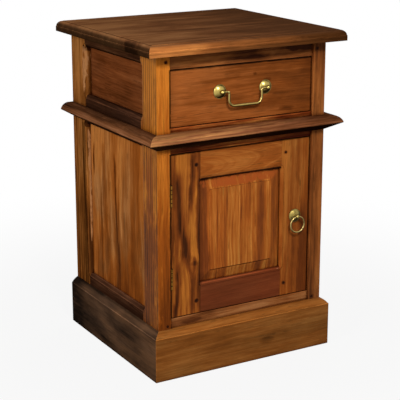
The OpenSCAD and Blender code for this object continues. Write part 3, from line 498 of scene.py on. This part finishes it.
postBoards = {
    # Painted light: the dark lines beside the door and drawer gaps are painted shade, the side that looks
    # left is painted darker, and the post is painted lighter towards the top
    "post_front_left": {
        "colours": ["#6c340e", "#a05116", "#d07a28"], "seed": 11.3, "flank": (0.81, 0.87, 0.8),
        "deepLines": 120, "shift": -0.05,
        "lines": [("x", -0.1716, 0.0028, -0.9, 0.106, 0.475), ("x", -0.1716, 0.0026, -0.85, 0.527, 0.645),
                  *growthLines(nearRings)],
        "wideTone": 0.7, "narrowTone": 1.2, "lightFade": (1.5, 0.0), "spots": carcassMarks,
        "streaks": [(-0.204, 0, 0, 0.008, 0.4, 0.1, 0.40)],
        "tint": (0.78, 0.95, 1.0), "tintShare": 0.3, "tintFade": -0.6, "patchTone": 0.5, "hair": 0.5,
    },
    # Painted light: the pale line on the inner arris is a painted highlight with painted shade beside it,
    # and the tone slopes across and along the post are a painted falloff of light
    "post_front_right": {
        "colours": ["#5f3215", "#874a20", "#a4602c"], "seed": 12.9, "lightFade": (-0.35, 6.0),
        "narrowTone": 1.9, "patchTone": 1.4, "shift": -0.03, "spots": carcassMarks,
        "lines": [("x", 0.1718, 0.0016, 0.3, *everywhere), ("x", 0.1765, 0.005, -0.2, *everywhere)],
    },
    # Painted light: the pale ovolo is a painted glint, partly wear, with a painted highlight line and
    # painted shade beside it, the dark spots at the stops of the ovolo are painted shadows, and the post is
    # painted lighter towards the top
    "post_rear_left": {
        "colours": ["#48240c", "#854c1c", "#b67438"], "seed": 13.7, "face": "x", "gloss": 0.0,
        "glintColour": "#c28856", "lightFade": (0.7, 0.0),
        "lines": [("y", 0.1475, 0.0020, 1.1, 0.13, 0.48), ("y", 0.158, 0.009, -0.5, 0.10, 0.48)],
        "glintsAndWear": [(0.600, 0.1478, 0.050, 0.0078), (0.42, 0.1418, 0.05, 0.0018),
                 (0.30, 0.1415, 0.09, 0.0006)],
        "spots": [(0.646, 0.145, 0.007, 0.007, -1.5), (0.478, 0.145, 0.007, 0.007, -1.5)],
    },
    "post_rear_right": {"colours": ["#532910", "#7a4820", "#9c6434"], "seed": 14.4, "face": "x"},
}

sideBoards = {
    "side_rail_top": {**sideWood, "colours": ["#2a160d", "#4a2b18", "#6c4529"], "seed": 21.0},
    # Painted light: the lighter edges and the pale line are painted highlights, partly wear
    "side_rail_middle": {
        **sideWood, "colours": ["#24120a", "#3e2416", "#6c4128"], "seed": 22.3,
        "edge": 0.4, "wideTone": 0.6, "narrowTone": 0.8,
        "lines": [("z", 0.5372, 0.0014, 1.2, *everywhere)],
    },
    # Painted light: the lighter edges and the pale lines are painted highlights, partly wear
    "side_rail_bottom": {
        **sideWood, "colours": ["#22110a", "#3a2114", "#5c3a26"], "seed": 23.9,
        "edge": 0.3, "wideTone": 0.6, "narrowTone": 0.8,
        "lines": [("z", 0.1268, 0.0013, 1.3, *everywhere), ("z", 0.133, 0.0011, 0.9, *everywhere)],
    },
    "side_panel_upper": {
        **sideWood, "colours": ["#55290f", "#7c421f", "#9a5a30"], "seed": 24.6,
        "patchTone": 0.9, "wideTone": 0.5, "narrowTone": 0.9, "bandTone": 0.7,
    },
    # Painted light: the panel is painted lighter towards the top
    "side_panel_lower": {
        **sideWood, "along": "z", "colours": ["#6a3512", "#a0561e", "#c97e3c"], "seed": 25.2,
        "bands": 50, "pith": (0.05, 0.12), "patchTone": 0.9, "wideTone": 0.9, "narrowTone": 1.15,
        "bandTone": 0.6, "drift": 0.03, "tint": (0.74, 0.98, 1.7), "tintShare": 0.65,
        "tintFade": -2.0, "lightFade": (1.1, 0.0),
        "streaks": [(0.115, 0, 0, 0.05, 0.3, 0.1, 0.5), (0.045, 0.02, 0, 0.02, 0.4, 0.2, 0.5),
                    (0.083, 0, 0, 0.012, 0.4, 0.15, 0.5), (-0.004, 0.02, 0, 0.009, 0.6, 0.26, 0.45),
                    (-0.06, 0, 0, 0.016, -0.1, 0.15, 0.45), (0.02, -0.1, 0, 0.008, -0.5, 0.12, 0.22),
                    (0.01, 0.05, 0, 0.006, -0.9, 0.15, 0.42), (0.129, 0, 0, 0.007, -1.2, 0.38, 0.43)],
        "lines": [("y", -0.1215, 0.004, -0.6, 0.12, 0.49)],
    },
}

frontBoards = {
    # Painted light: the dark band along the top and the dark spot at the right are painted shadow of the
    # top, and the rail is painted darker to the right
    "front_rail_top": {
        "along": "x", "colours": ["#46200c", "#8c4e24", "#bc7239"], "seed": 31.4, "patchTone": 1.7,
        "narrowTone": 0.8, "wideTone": 0.8, "lightFade": (-0.9, 0.0),
        "lines": [("z", 0.675, 0.009, -0.45, *everywhere)],
        "spots": [(0.14, 0.669, 0.035, 0.011, -0.9), (0.06, 0.665, 0.03, 0.012, 0.35)],
    },
    # Painted light: the pale line under the drawer is a painted highlight, and the dark line above the
    # waist moulding is painted shade
    "front_rail_middle": {
        "along": "x", "colours": ["#501a06", "#90441a", "#cc7c38"], "seed": 32.8, "patchTone": 2.1,
        "lines": [("z", 0.5262, 0.0020, 0.45, *everywhere), ("z", 0.5195, 0.0026, -0.3, *everywhere)],
    },
    # Painted light: the pale line under the door is a painted highlight
    "front_rail_bottom": {
        "along": "x", "colours": ["#5c2f13", "#8c5026", "#b07240"], "seed": 33.1, "patchTone": 1.4,
        "narrowTone": 1.9,
        "spots": [(0.03, 0.114, 0.05, 0.006, 0.4), (-0.12, 0.113, 0.04, 0.006, -0.4)],
        "lines": [("z", 0.1255, 0.0020, 0.5, *everywhere)],
    },
    # Painted light: the lighter edges and the pale lines on the rounding are painted highlights, the dark
    # line near the top is painted shade, the underside is painted dark, and the moulding is painted darker
    # to the right
    "waist_moulding_front": {
        "along": "x", "colours": ["#583018", "#865030", "#b67c48"], "seed": 34.5, "edge": 0.7,
        "gloss": 0.0, "soft": 0.0018, "bandTone": 0.5, "under": 0.1, "lightFade": (-1.3, 0.0),
        "lines": [("z", 0.5055, 0.0012, 0.4, *everywhere), ("z", 0.5172, 0.0030, -0.3, *everywhere),
                  ("z", 0.5105, 0.0022, 0.35, *everywhere)],
    },
    # Painted light: the lighter edges and the pale lines along the top are painted highlights, partly wear
    "plinth_front": {
        "along": "x", "colours": ["#56300f", "#824a1b", "#a0662f"], "seed": 35.7, "edge": 0.6,
        "soft": 0.0018, "bandTone": 0.4, "wideTone": 0.4, "narrowTone": 0.8, "patchTone": 0.9,
        "tint": (0.78, 0.95, 1.15), "tintShare": 0.5, "shift": 0.06,
        "lines": [("z", 0.0935, 0.0012, 0.6, *everywhere), ("z", 0.099, 0.006, 0.3, *everywhere)],
        "spots": [(0.055, 0.04, 0.02, 0.012, -0.3), (-0.07, 0.05, 0.04, 0.02, -0.1)],
    },
}

mouldingBoards = {
    # Painted light: the lighter edges and the pale lines are painted highlights, the dark band near the top
    # is painted shade, and the underside is painted dark
    "waist_moulding_left": {
        **sideWood, "colours": ["#2e190f", "#623a20", "#825436"], "seed": 41.2,
        "shift": 0.04, "edge": 0.7, "soft": 0.0018, "under": 0.1,
        "lines": [("z", 0.5055, 0.0012, 0.4, *everywhere), ("z", 0.5172, 0.0048, -0.35, *everywhere),
                  ("z", 0.5095, 0.0025, 0.3, *everywhere)],
    },
    # Painted light: the lighter edges are painted highlights, and the underside is painted dark
    "waist_moulding_right": {
        **sideWood, "colours": ["#361c0d", "#58341c", "#774c32"], "seed": 42.6,
        "edge": 0.5, "soft": 0.0018, "under": 0.1,
    },
    # Painted light: the lighter edges and the pale line are painted highlights, the dark line under the
    # post is painted shade, and the plinth is painted lighter towards the front
    "plinth_left": {
        **sideWood, "colours": ["#201711", "#4c3626", "#6c4c34"], "seed": 43.3,
        "edge": 0.6, "soft": 0.0018, "patchTone": 1.8, "wideTone": 0.4, "narrowTone": 0.5,
        "bandTone": 0.3, "lightFade": (-1.3, 0), "shift": 0.02,
        "lines": [("z", 0.0935, 0.0012, 0.8, *everywhere), ("z", 0.1052, 0.003, -0.5, *everywhere)],
    },
    # Painted light: the lighter edges are painted highlights
    "plinth_right": {
        **sideWood, "colours": ["#54301a", "#734624", "#8c5c38"], "seed": 44.8,
        "edge": 0.5, "soft": 0.0018,
    },
}

doorBoards = {
    # Painted light: the dark lines along the hinge gap, the top gap and the panel's edge are painted shade
    "door_stile_hinge": {
        "colours": ["#42200d", "#854318", "#bc6f28"], "seed": 51.9, "wideTone": 1.0, "shift": 0.24,
        "narrowTone": 1.3, "patchTone": 0.8, "tintShare": 0.2, "bandTone": 0.6,
        "knots": [(0.236, -0.116, 0.03, 0.012, 0.008)],
        "spots": [(0.236, -0.112, 0.006, 0.014, -0.2)] + doorMarks,
        "lines": [("x", -0.1682, 0.0028, -0.92, 0.12, 0.48), ("z", 0.4718, 0.0018, -0.85, *everywhere),
                  ("x", -0.0995, 0.0030, -0.7, 0.185, 0.416)],
        "streaks": [(-0.101, 0, 0, 0.012, -0.6, 0.127, 0.473), (-0.124, 0.06, 0, 0.010, -0.7, 0.33, 0.473),
                    (-0.123, -0.33, 0.9, 0.016, -0.8, 0.240, 0.42),
                    (-0.158, 0.16, -0.5, 0.010, -0.8, 0.127, 0.235),
                    (-0.118, 0.02, 0, 0.009, -0.5, 0.127, 0.22),
                    (-0.112, -0.12, 0, 0.010, 0.5, 0.25, 0.36)],
    },
    # Painted light: the dark lines along the gaps are painted shade, and the stile is painted lighter
    # towards its inner edge and the top
    "door_stile_lock": {
        "colours": ["#6b3311", "#934b19", "#b2692a"], "seed": 52.2, "wideTone": 1.0, "narrowTone": 1.1,
        "patchTone": 1.4, "lightFade": (0.3, -3.5), "spots": doorMarks,
        "streaks": [(0.112, 0, 0, 0.018, 0.15, 0.30, 0.47), (0.156, 0, 0, 0.014, -0.4, 0.12, 0.32)],
        "lines": [("x", 0.1682, 0.0015, -0.8, 0.12, 0.48), ("z", 0.4718, 0.0014, -0.7, *everywhere)],
    },
    # Painted light: the dark lines along the top gap and the panel's top edge are painted shade
    "door_rail_top": {
        "along": "x", "colours": ["#844214", "#a35720", "#c07432"], "seed": 53.5, "pith": (0.0, 0.03),
        "lean": (0.02, 0.12), "bandTone": 1.8, "wideTone": 0.6, "narrowTone": 0.7, "tintShare": 0.2,
        "lines": [("z", 0.4718, 0.0014, -0.7, *everywhere), ("z", 0.4125, 0.0032, -0.65, -0.1, 0.1)],
    },
    # Painted light: the pale line and the pale spot at the corner are painted highlights on the ovolo,
    # partly wear
    "door_rail_bottom": {
        "along": "x", "colours": ["#5c2b13", "#70371c", "#844524"], "seed": 54.1, "hair": 0.1,
        "narrowTone": 0.6, "bandTone": 0.5, "tint": (1.15, 0.85, 0.7),
        "lines": [("z", 0.1895, 0.0013, 1.0, -0.095, 0.099)],
        "glintsAndWear": [(0.094, 0.189, 0.004, 0.0016)],
    },
    # Painted light: the dark lines under the top rail, beside the stiles, under the field and over the
    # lower bevel are painted shade, the pale lines round the field are painted highlights, and the orange
    # band over the top bevel is painted light
    "door_panel": {
        "colours": ["#763c1a", "#a85a20", "#c98037"], "seed": 55.6, "glintColour": "#a65020", "glintTone": 1.0,
        "glintsAndWear": [(0.4005, 0.0, 0.0105, 0.1)],
        "lean": (-0.05, 0.05), "bandTone": 1.2, "wideTone": 1.2, "narrowTone": 1.5,
        "tint": (1.0, 0.82, 0.75),
        "streaks": [(-0.092, 0, 0, 0.018, -0.6, 0.18, 0.42), (0.045, 0.03, 0, 0.018, -0.5, 0.19, 0.42),
                    (0.0, 0.0, 0, 0.03, 0.2, 0.21, 0.40)],
        "lines": [("z", 0.2146, 0.0018, -0.85, -0.074, 0.074), ("z", 0.3885, 0.0012, 0.3, -0.074, 0.074),
                  ("x", -0.0745, 0.0012, 0.25, 0.216, 0.388), ("x", 0.0745, 0.0012, 0.25, 0.216, 0.388),
                  ("z", 0.4108, 0.0055, -0.85, *everywhere), ("z", 0.203, 0.012, -0.22, *everywhere),
                  ("x", -0.0985, 0.0040, -0.8, 0.18, 0.42), ("x", 0.0985, 0.0022, -0.6, 0.18, 0.42)],
    },
}

drawerBoards = {
    # Painted light: the dark lines along the gaps are painted shade, and the front is painted lighter to
    # the left and towards the top
    "drawer_front": {
        "along": "x", "colours": ["#64310f", "#834317", "#a75c28"], "seed": 61.4, "bands": 130,
        "pith": (0.5, 0.1), "bandTone": 0.5, "wideTone": 0.7, "narrowTone": 1.15, "patchTone": 1.5,
        "lines": [("x", -0.1682, 0.0026, -0.9, 0.5, 0.66), ("z", 0.6422, 0.0018, -0.85, *everywhere),
                  ("x", 0.1682, 0.0013, -0.6, 0.5, 0.66)],
        "lightFade": (-1.7, 0.4),
        "spots": [(0.11, 0.54, 0.02, 0.008, -0.5), (0.03, 0.62, 0.006, 0.004, -0.4),
                  (0.06, 0.606, 0.010, 0.004, -0.4)],
    },
}

backBoards = {
    "back_panel": {**brownWood, "seed": 71.3},
    "plinth_rear": {**rearWood, "seed": 72.0},
    "rear_rail_top": {**rearWood, "seed": 73.2},
    "rear_rail_middle": {**rearWood, "seed": 74.5},
    "rear_rail_bottom": {**rearWood, "seed": 75.1},
}

innerBoards = {
    "cupboard_floor": {"along": "x", "face": "z", **insideWood, "seed": 81.0},
    "floor_bearers": {"along": "y", "face": "z", **insideWood, "seed": 82.1},
    "dust_panel": {"along": "x", "face": "z", **insideWood, "seed": 83.2},
    "drawer_runners": {"along": "y", "face": "z", **insideWood, "seed": 84.3},
    "drawer_kickers": {"along": "y", "face": "z", **insideWood, "seed": 85.4},
    "drawer_stops": {"along": "x", "face": "y", **insideWood, "seed": 86.5},
    "door_stop": {**brownWood, "seed": 87.6},
    "drawer_side_left": {"along": "y", "face": "x", **insideWood, "seed": 88.7},
    "drawer_side_right": {"along": "y", "face": "x", **insideWood, "seed": 89.8},
    "drawer_back": {"along": "x", "face": "y", **insideWood, "seed": 90.9},
    "drawer_bottom": {"along": "x", "face": "z", **insideWood, "seed": 91.5},
}

pegBoards = {
    "carcass_pegs": {
        "along": "y", "face": "z", "colours": ["#2a1008", "#44200f", "#5c3018"], "seed": 95.0,
    },
    "door_pegs": {
        "along": "y", "face": "z", "colours": ["#241208", "#3c200f", "#563218"], "seed": 96.0,
    },
}

# Both sides are alike, but each has a grain of its own
sideBoards = {name + side: {**settings, "seed": settings["seed"] + number * sideSeedStep}
              for name, settings in sideBoards.items() for number, side in enumerate(("_left", "_right"))}

for group in (topBoards, postBoards, sideBoards, frontBoards, mouldingBoards, doorBoards, drawerBoards,
              backBoards, innerBoards, pegBoards):
    for name, settings in group.items():
        dress(name, Board(name + "_wood", settings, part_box(name)).paintAll())
print("wood painted")


# Brass and steel

hinge = {
    "length": 0.046, "knuckles": 5,
    "leaf": 0.0012,             # thickness of a leaf
    "screws": 3,                # in each leaf, at these distances from its ends and from its back edge
    "fromEnd": 0.008, "fromBack": 0.0055,
    "proud": 0.0001,            # how far a head stands out
}
pinsLow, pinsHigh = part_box("hinge_pins")
hingeStarts = (pinsLow.z, pinsHigh.z - hinge["length"])
hingeJoints = [start + hinge["length"] / hinge["knuckles"] * number
               for start in hingeStarts for number in range(hinge["knuckles"] + 1)]

metalLook = {
    "cloudNoise": (4, 0.6),     # detail and roughness
    "fineNoise": (3, 0.7),
    "cornerSamples": 8,
    "cornerLimits": (0.2, 0.8),     # where corners and clouds begin to count, and where they are full
    "cloudLimits": (0.45, 0.72),
    "light": (0.5, 0.8, 0.5),   # what facing right, facing down and the clouds add to the painted shade
    "joint": (0.0016, 0.3),     # width of the dirt in a hinge joint, and the share of it that is full
    "bright": (0.9, 0.2),       # the least brightness, and what the fine noise adds
    "dirtAndShadeRough": 0.25,          # what dirt, painted shade and the fine noise add to the roughness
    "fineRough": 0.12,
    "relief": (0.3, 0.0002),    # strength and depth of the bump
    "fineHeight": 0.3,          # height of the fine noise in it, where that of the clouds is 1
}

# Colours, roughness, tarnish in clouds, dirt in corners and its reach, noises in a metre, and the painted
# shade on sides that look right or down: from which to which it grows, and how strong it is
pullBrass = {
    "clean": "#b9a259", "dark": "#2e200a", "rough": 0.24, "tarnish": 0.3, "cornerDirt": 0.95,
    "cornerReach": 0.007, "cloudScale": 90, "fineScale": 900, "shelter": (-0.3, 0.38), "sheltered": 1,
}
ringBrass = {
    "clean": "#a08c4c", "dark": "#34260e", "rough": 0.25, "tarnish": 0.7, "cornerDirt": 0.95,
    "cornerReach": 0.006, "cloudScale": 60, "fineScale": 900, "shelter": (-0.35, 0.3), "sheltered": 0.95,
}
smallMetal = {      # the hinges and the catch
    "cornerReach": 0.004, "cloudScale": 120, "fineScale": 1200, "shelter": (0, 1), "sheltered": 0.5,
}
hingeBrass = {
    "clean": "#8a5f22", "dark": "#2a1907", "rough": 0.35, "tarnish": 0.7, "cornerDirt": 0.5,
    "joints": hingeJoints, **smallMetal,
}
catchSteel = {
    "clean": "#8d8d88", "dark": "#4b4843", "rough": 0.3, "tarnish": 0.4, "cornerDirt": 0.6, **smallMetal,
}
# The rods turn all their sides to the light, so their painted shade stays paler
bailBrass = {**pullBrass, "clean": "#b8a05c", "dark": "#423010", "shelter": (-0.4, 0.25)}
rodBrass = {**ringBrass, "clean": "#b09a5e", "dark": "#443416", "shelter": (-0.3, 0.2)}


def brassFinish(name, settings):
    brass = Finish(name, Metallic=1.0)
    height = brass.split("Object")[2]
    lookRight, _, lookUp = brass.split("Normal")
    place = brass.node("TexCoord", output="Object")
    cloud = brass.noise(place, *metalLook["cloudNoise"], settings["cloudScale"])
    fine = brass.noise(place, *metalLook["fineNoise"], settings["fineScale"])
    corner = brass.corner(settings["cornerReach"], metalLook["cornerSamples"])
    right, down, clouded = metalLook["light"]
    # Painted shade: the sides that look right or down are darker
    shelter = lookRight * right - lookUp * down + (cloud - 0.5) * clouded
    inCorner = (1 - corner.rise(*metalLook["cornerLimits"])) * settings["cornerDirt"]
    dirtAndShade = inCorner.over(cloud.rise(*metalLook["cloudLimits"]) * settings["tarnish"])
    dirtAndShade = dirtAndShade.over(shelter.rise(*settings["shelter"]) * settings["sheltered"])
    for at in settings.get("joints", []):
        dirtAndShade = dirtAndShade.over((height - at).near(*metalLook["joint"]))
    least, added = metalLook["bright"]
    colour = brass.blend(dirtAndShade, paint(settings["clean"]), paint(settings["dark"]))
    brass.feed("Base Color", colour * (least + fine * added))
    roughness = dirtAndShade * metalLook["dirtAndShadeRough"] + fine * metalLook["fineRough"] + settings["rough"]
    brass.feed("Roughness", roughness)
    strength, depth = metalLook["relief"]
    bump = {"Strength": strength, "Distance": depth, "Height": cloud + fine * metalLook["fineHeight"]}
    brass.feed("Normal", brass.node("Bump", None, bump))
    return brass.material


hingeMetal = brassFinish("hinge_brass", hingeBrass)
metalParts = [
    (brassFinish("pull_brass", pullBrass), ("pull_roses", "pull_posts", "pull_nuts")),
    (brassFinish("ring_brass", ringBrass), ("ring_plate", "ring_nut")),
    (hingeMetal, ("hinge_frame_leaves", "hinge_pins", "hinge_door_leaves")),
    (brassFinish("catch_metal", catchSteel), ("catch_magnet", "catch_plate")),
    (brassFinish("bail_brass", bailBrass), ("bail",)),
    (brassFinish("rod_brass", rodBrass), ("ring",)),
]
for metal, names in metalParts:
    for name in names:
        dress(name, metal)
print("metal painted")


# Slotted screws, all of one group in one mesh

# Radius in metres, and the slot's half width and depth in shares of it
hingeScrew = {"radius": 0.0022, "slot": 0.16, "slotDepth": 0.25}
backScrew = {"radius": 0.003, "slot": 0.14, "slotDepth": 0.25}

screwShape = {              # of a head with a radius of 1
    "outline": [(0, 0), (0.45, -0.02), (0.8, -0.08), (1, -0.2), (1, -0.5)],     # out and up
    "sides": 24,
    "merge": 0.0001,            # points nearer than this become one
    "upward": 0.3,              # the slot is cut in faces that look up more than this
    "turns": (0.4, 1.9),        # turn of the first screw and of each next one, in radians
}


def addScrew(mesh, size, turn, matrix):
    head = bmesh.new()
    outline = screwShape["outline"]
    for near, far in zip(outline, outline[1:]):
        for step in range(screwShape["sides"]):
            first, second = (2 * math.pi * (step + side) / screwShape["sides"] for side in (0, 1))
            ends = [(*near, first), (*far, first), (*far, second), (*near, second)]
            corners = [(radius * math.cos(angle), radius * math.sin(angle), z) for radius, z, angle in ends]
            corners = corners[1:] if near[0] == 0 else corners
            head.faces.new([head.verts.new(corner) for corner in corners])
    bmesh.ops.remove_doubles(head, verts=head.verts, dist=screwShape["merge"])
    for side in (-1, 1):        # both edges of the slot, and then its bottom
        parts = head.verts[:] + head.edges[:] + head.faces[:]
        bmesh.ops.bisect_plane(head, geom=parts, plane_co=(0, side * size["slot"], 0), plane_no=(0, 1, 0))
    strip = [face for face in head.faces
             if abs(face.calc_center_median().y) < size["slot"] and face.normal.z > screwShape["upward"]]
    pushed = bmesh.ops.extrude_face_region(head, geom=strip)["geom"]
    bmesh.ops.delete(head, geom=strip, context="FACES")
    for vert in (part for part in pushed if isinstance(part, bmesh.types.BMVert)):
        vert.co.z -= size["slotDepth"]
    head.transform(matrix @ Matrix.Rotation(turn, 4, "Z") @ Matrix.Scale(size["radius"], 4))
    part = bpy.data.meshes.new("screw")
    head.to_mesh(part)
    mesh.from_mesh(part)
    bpy.data.meshes.remove(part)
    head.free()


def screwGroup(name, size, places, facing, body):
    mesh = bmesh.new()
    out = Vector(facing).to_track_quat("Z", "Y").to_matrix().to_4x4()
    start, step = screwShape["turns"]
    for number, place in enumerate(places):
        addScrew(mesh, size, start + step * number, Matrix.Translation(place) @ out)
    data = bpy.data.meshes.new(name)
    mesh.to_mesh(data)
    mesh.free()
    piece = bpy.data.objects.new(name, data)
    scene.collection.objects.link(piece)
    data.materials.append(hingeMetal)
    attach(piece, body)


def evenly(low, high, count):
    return [low + (high - low) / (count - 1) * number for number in range(count)]


def hingePlaces(leaves, side):      # side is 1 for screws that look right, -1 for screws that look left
    low, high = leaves
    x = low.x + hinge["leaf"] if side > 0 else high.x - hinge["leaf"]
    y = high.y - hinge["fromBack"]
    first, last = hinge["fromEnd"], hinge["length"] - hinge["fromEnd"]
    heights = [start + z for start in hingeStarts for z in evenly(first, last, hinge["screws"])]
    return [(x + side * hinge["proud"], y, z) for z in heights]


for name, side, body in (("hinge_frame", 1, "carcass"), ("hinge_door", -1, "door")):
    places = hingePlaces(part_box(name + "_leaves"), side)
    screwGroup(name + "_screws", hingeScrew, places, (side, 0, 0), body)

backRows = {"fromSide": 0.0045, "fromEnd": 0.03, "rows": 5, "proud": 0.0005}
low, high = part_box("back_panel")
heights = evenly(low.z + backRows["fromEnd"], high.z - backRows["fromEnd"], backRows["rows"])
places = [(x, high.y + backRows["proud"], z)
          for x in (low.x + backRows["fromSide"], high.x - backRows["fromSide"]) for z in heights]
screwGroup("back_screws", backScrew, places, (0, 1, 0), "carcass")
print("screws in place")


# Studio

studio = {
    "floorColour": "#a8a6a2", "floorSize": 30.0, "floorRough": 0.9, "floorGloss": 0.1,
    "floorWhite": 0.9,          # share of plain white in what the camera sees of the floor near the part
    "floorFade": (0.35, 1.3),   # distances between which the rest, with the shadow in it, fades out
    "skyStrength": 0.2,
    "aim": (0.0, 0.0, 0.38),    # what the lamps look at
    "lamps": {                  # place, size and power
        "key": ((-0.45, -1.95, 1.94), 0.45, 34),
        "left": ((-1.68, -0.7, 1.18), 0.7, 17),
        "fill": ((1.9, 1.4, 1.1), 1.4, 20),
    },
}


def lamp(name, place, size, power):
    light = bpy.data.lights.new(name, "AREA")
    light.size = size
    light.energy = power
    light.shape = "DISK"
    holder = bpy.data.objects.new(name, light)
    holder.location = place
    holder.rotation_euler = (Vector(studio["aim"]) - Vector(place)).to_track_quat("-Z", "Y").to_euler()
    holder.visible_camera = False
    scene.collection.objects.link(holder)


for name, (place, size, power) in studio["lamps"].items():
    lamp(name, place, size, power)

# The camera sees a white sky, which lights the part only a little
world = bpy.data.worlds.new("sky")
scene.world = world
world.use_nodes = True
sky = Graph(world.node_tree)
background = sky.tree.nodes["Background"]
background.inputs["Color"].default_value = (1, 1, 1, 1)
strength = sky.node("MapRange", None, {"Value": sky.seen(), "To Min": studio["skyStrength"], "To Max": 1})
sky.link(strength, background.inputs["Strength"])

# The floor keeps the part's shadow
floorMesh = bpy.data.meshes.new("floor")
half = studio["floorSize"] / 2
corners = [(-half, -half, 0), (half, -half, 0), (half, half, 0), (-half, half, 0)]
floorMesh.from_pydata(corners, [], [(0, 1, 2, 3)])
floor = bpy.data.objects.new("floor", floorMesh)
scene.collection.objects.link(floor)
floorPaint = Finish("floor_paint", Base_Color=paint(studio["floorColour"]), Roughness=studio["floorRough"],
                    Specular_IOR_Level=studio["floorGloss"])
place = floorPaint.node("TexCoord", output="Object")
away = floorPaint.node("VectorMath", {"operation": "LENGTH"}, {0: place}, "Value")
whiteShare = away.rise(*studio["floorFade"]) * (1 - studio["floorWhite"]) + studio["floorWhite"]
shaded = Wire(floorPaint, floorPaint.shader.outputs[0])
glow = floorPaint.node("Emission", None, {"Color": (1, 1, 1, 1), "Strength": 1})
ground = floorPaint.node("MixShader", None, {0: floorPaint.seen() * whiteShare, 1: shaded, 2: glow})
floorPaint.link(ground, floorPaint.tree.nodes["Material Output"].inputs["Surface"])
floorMesh.materials.append(floorPaint.material)

# The photo's viewing angle: a place in metres, a turn and a tilt in degrees, a lens in millimetres
cameraSettings = {
    "place": (-1.3168, -2.2781, 1.0609), "turn": -30.13, "down": 14.97, "lens": 111.23, "shift": -0.05,
}
cameraData = bpy.data.cameras.new("camera")
cameraData.lens = cameraSettings["lens"]
cameraData.shift_y = cameraSettings["shift"]
camera = bpy.data.objects.new("camera", cameraData)
camera.location = cameraSettings["place"]
camera.rotation_euler = (math.radians(90 - cameraSettings["down"]), 0, math.radians(cameraSettings["turn"]))
scene.collection.objects.link(camera)
scene.camera = camera
scene.view_settings.view_transform = "Standard"
print("studio ready")
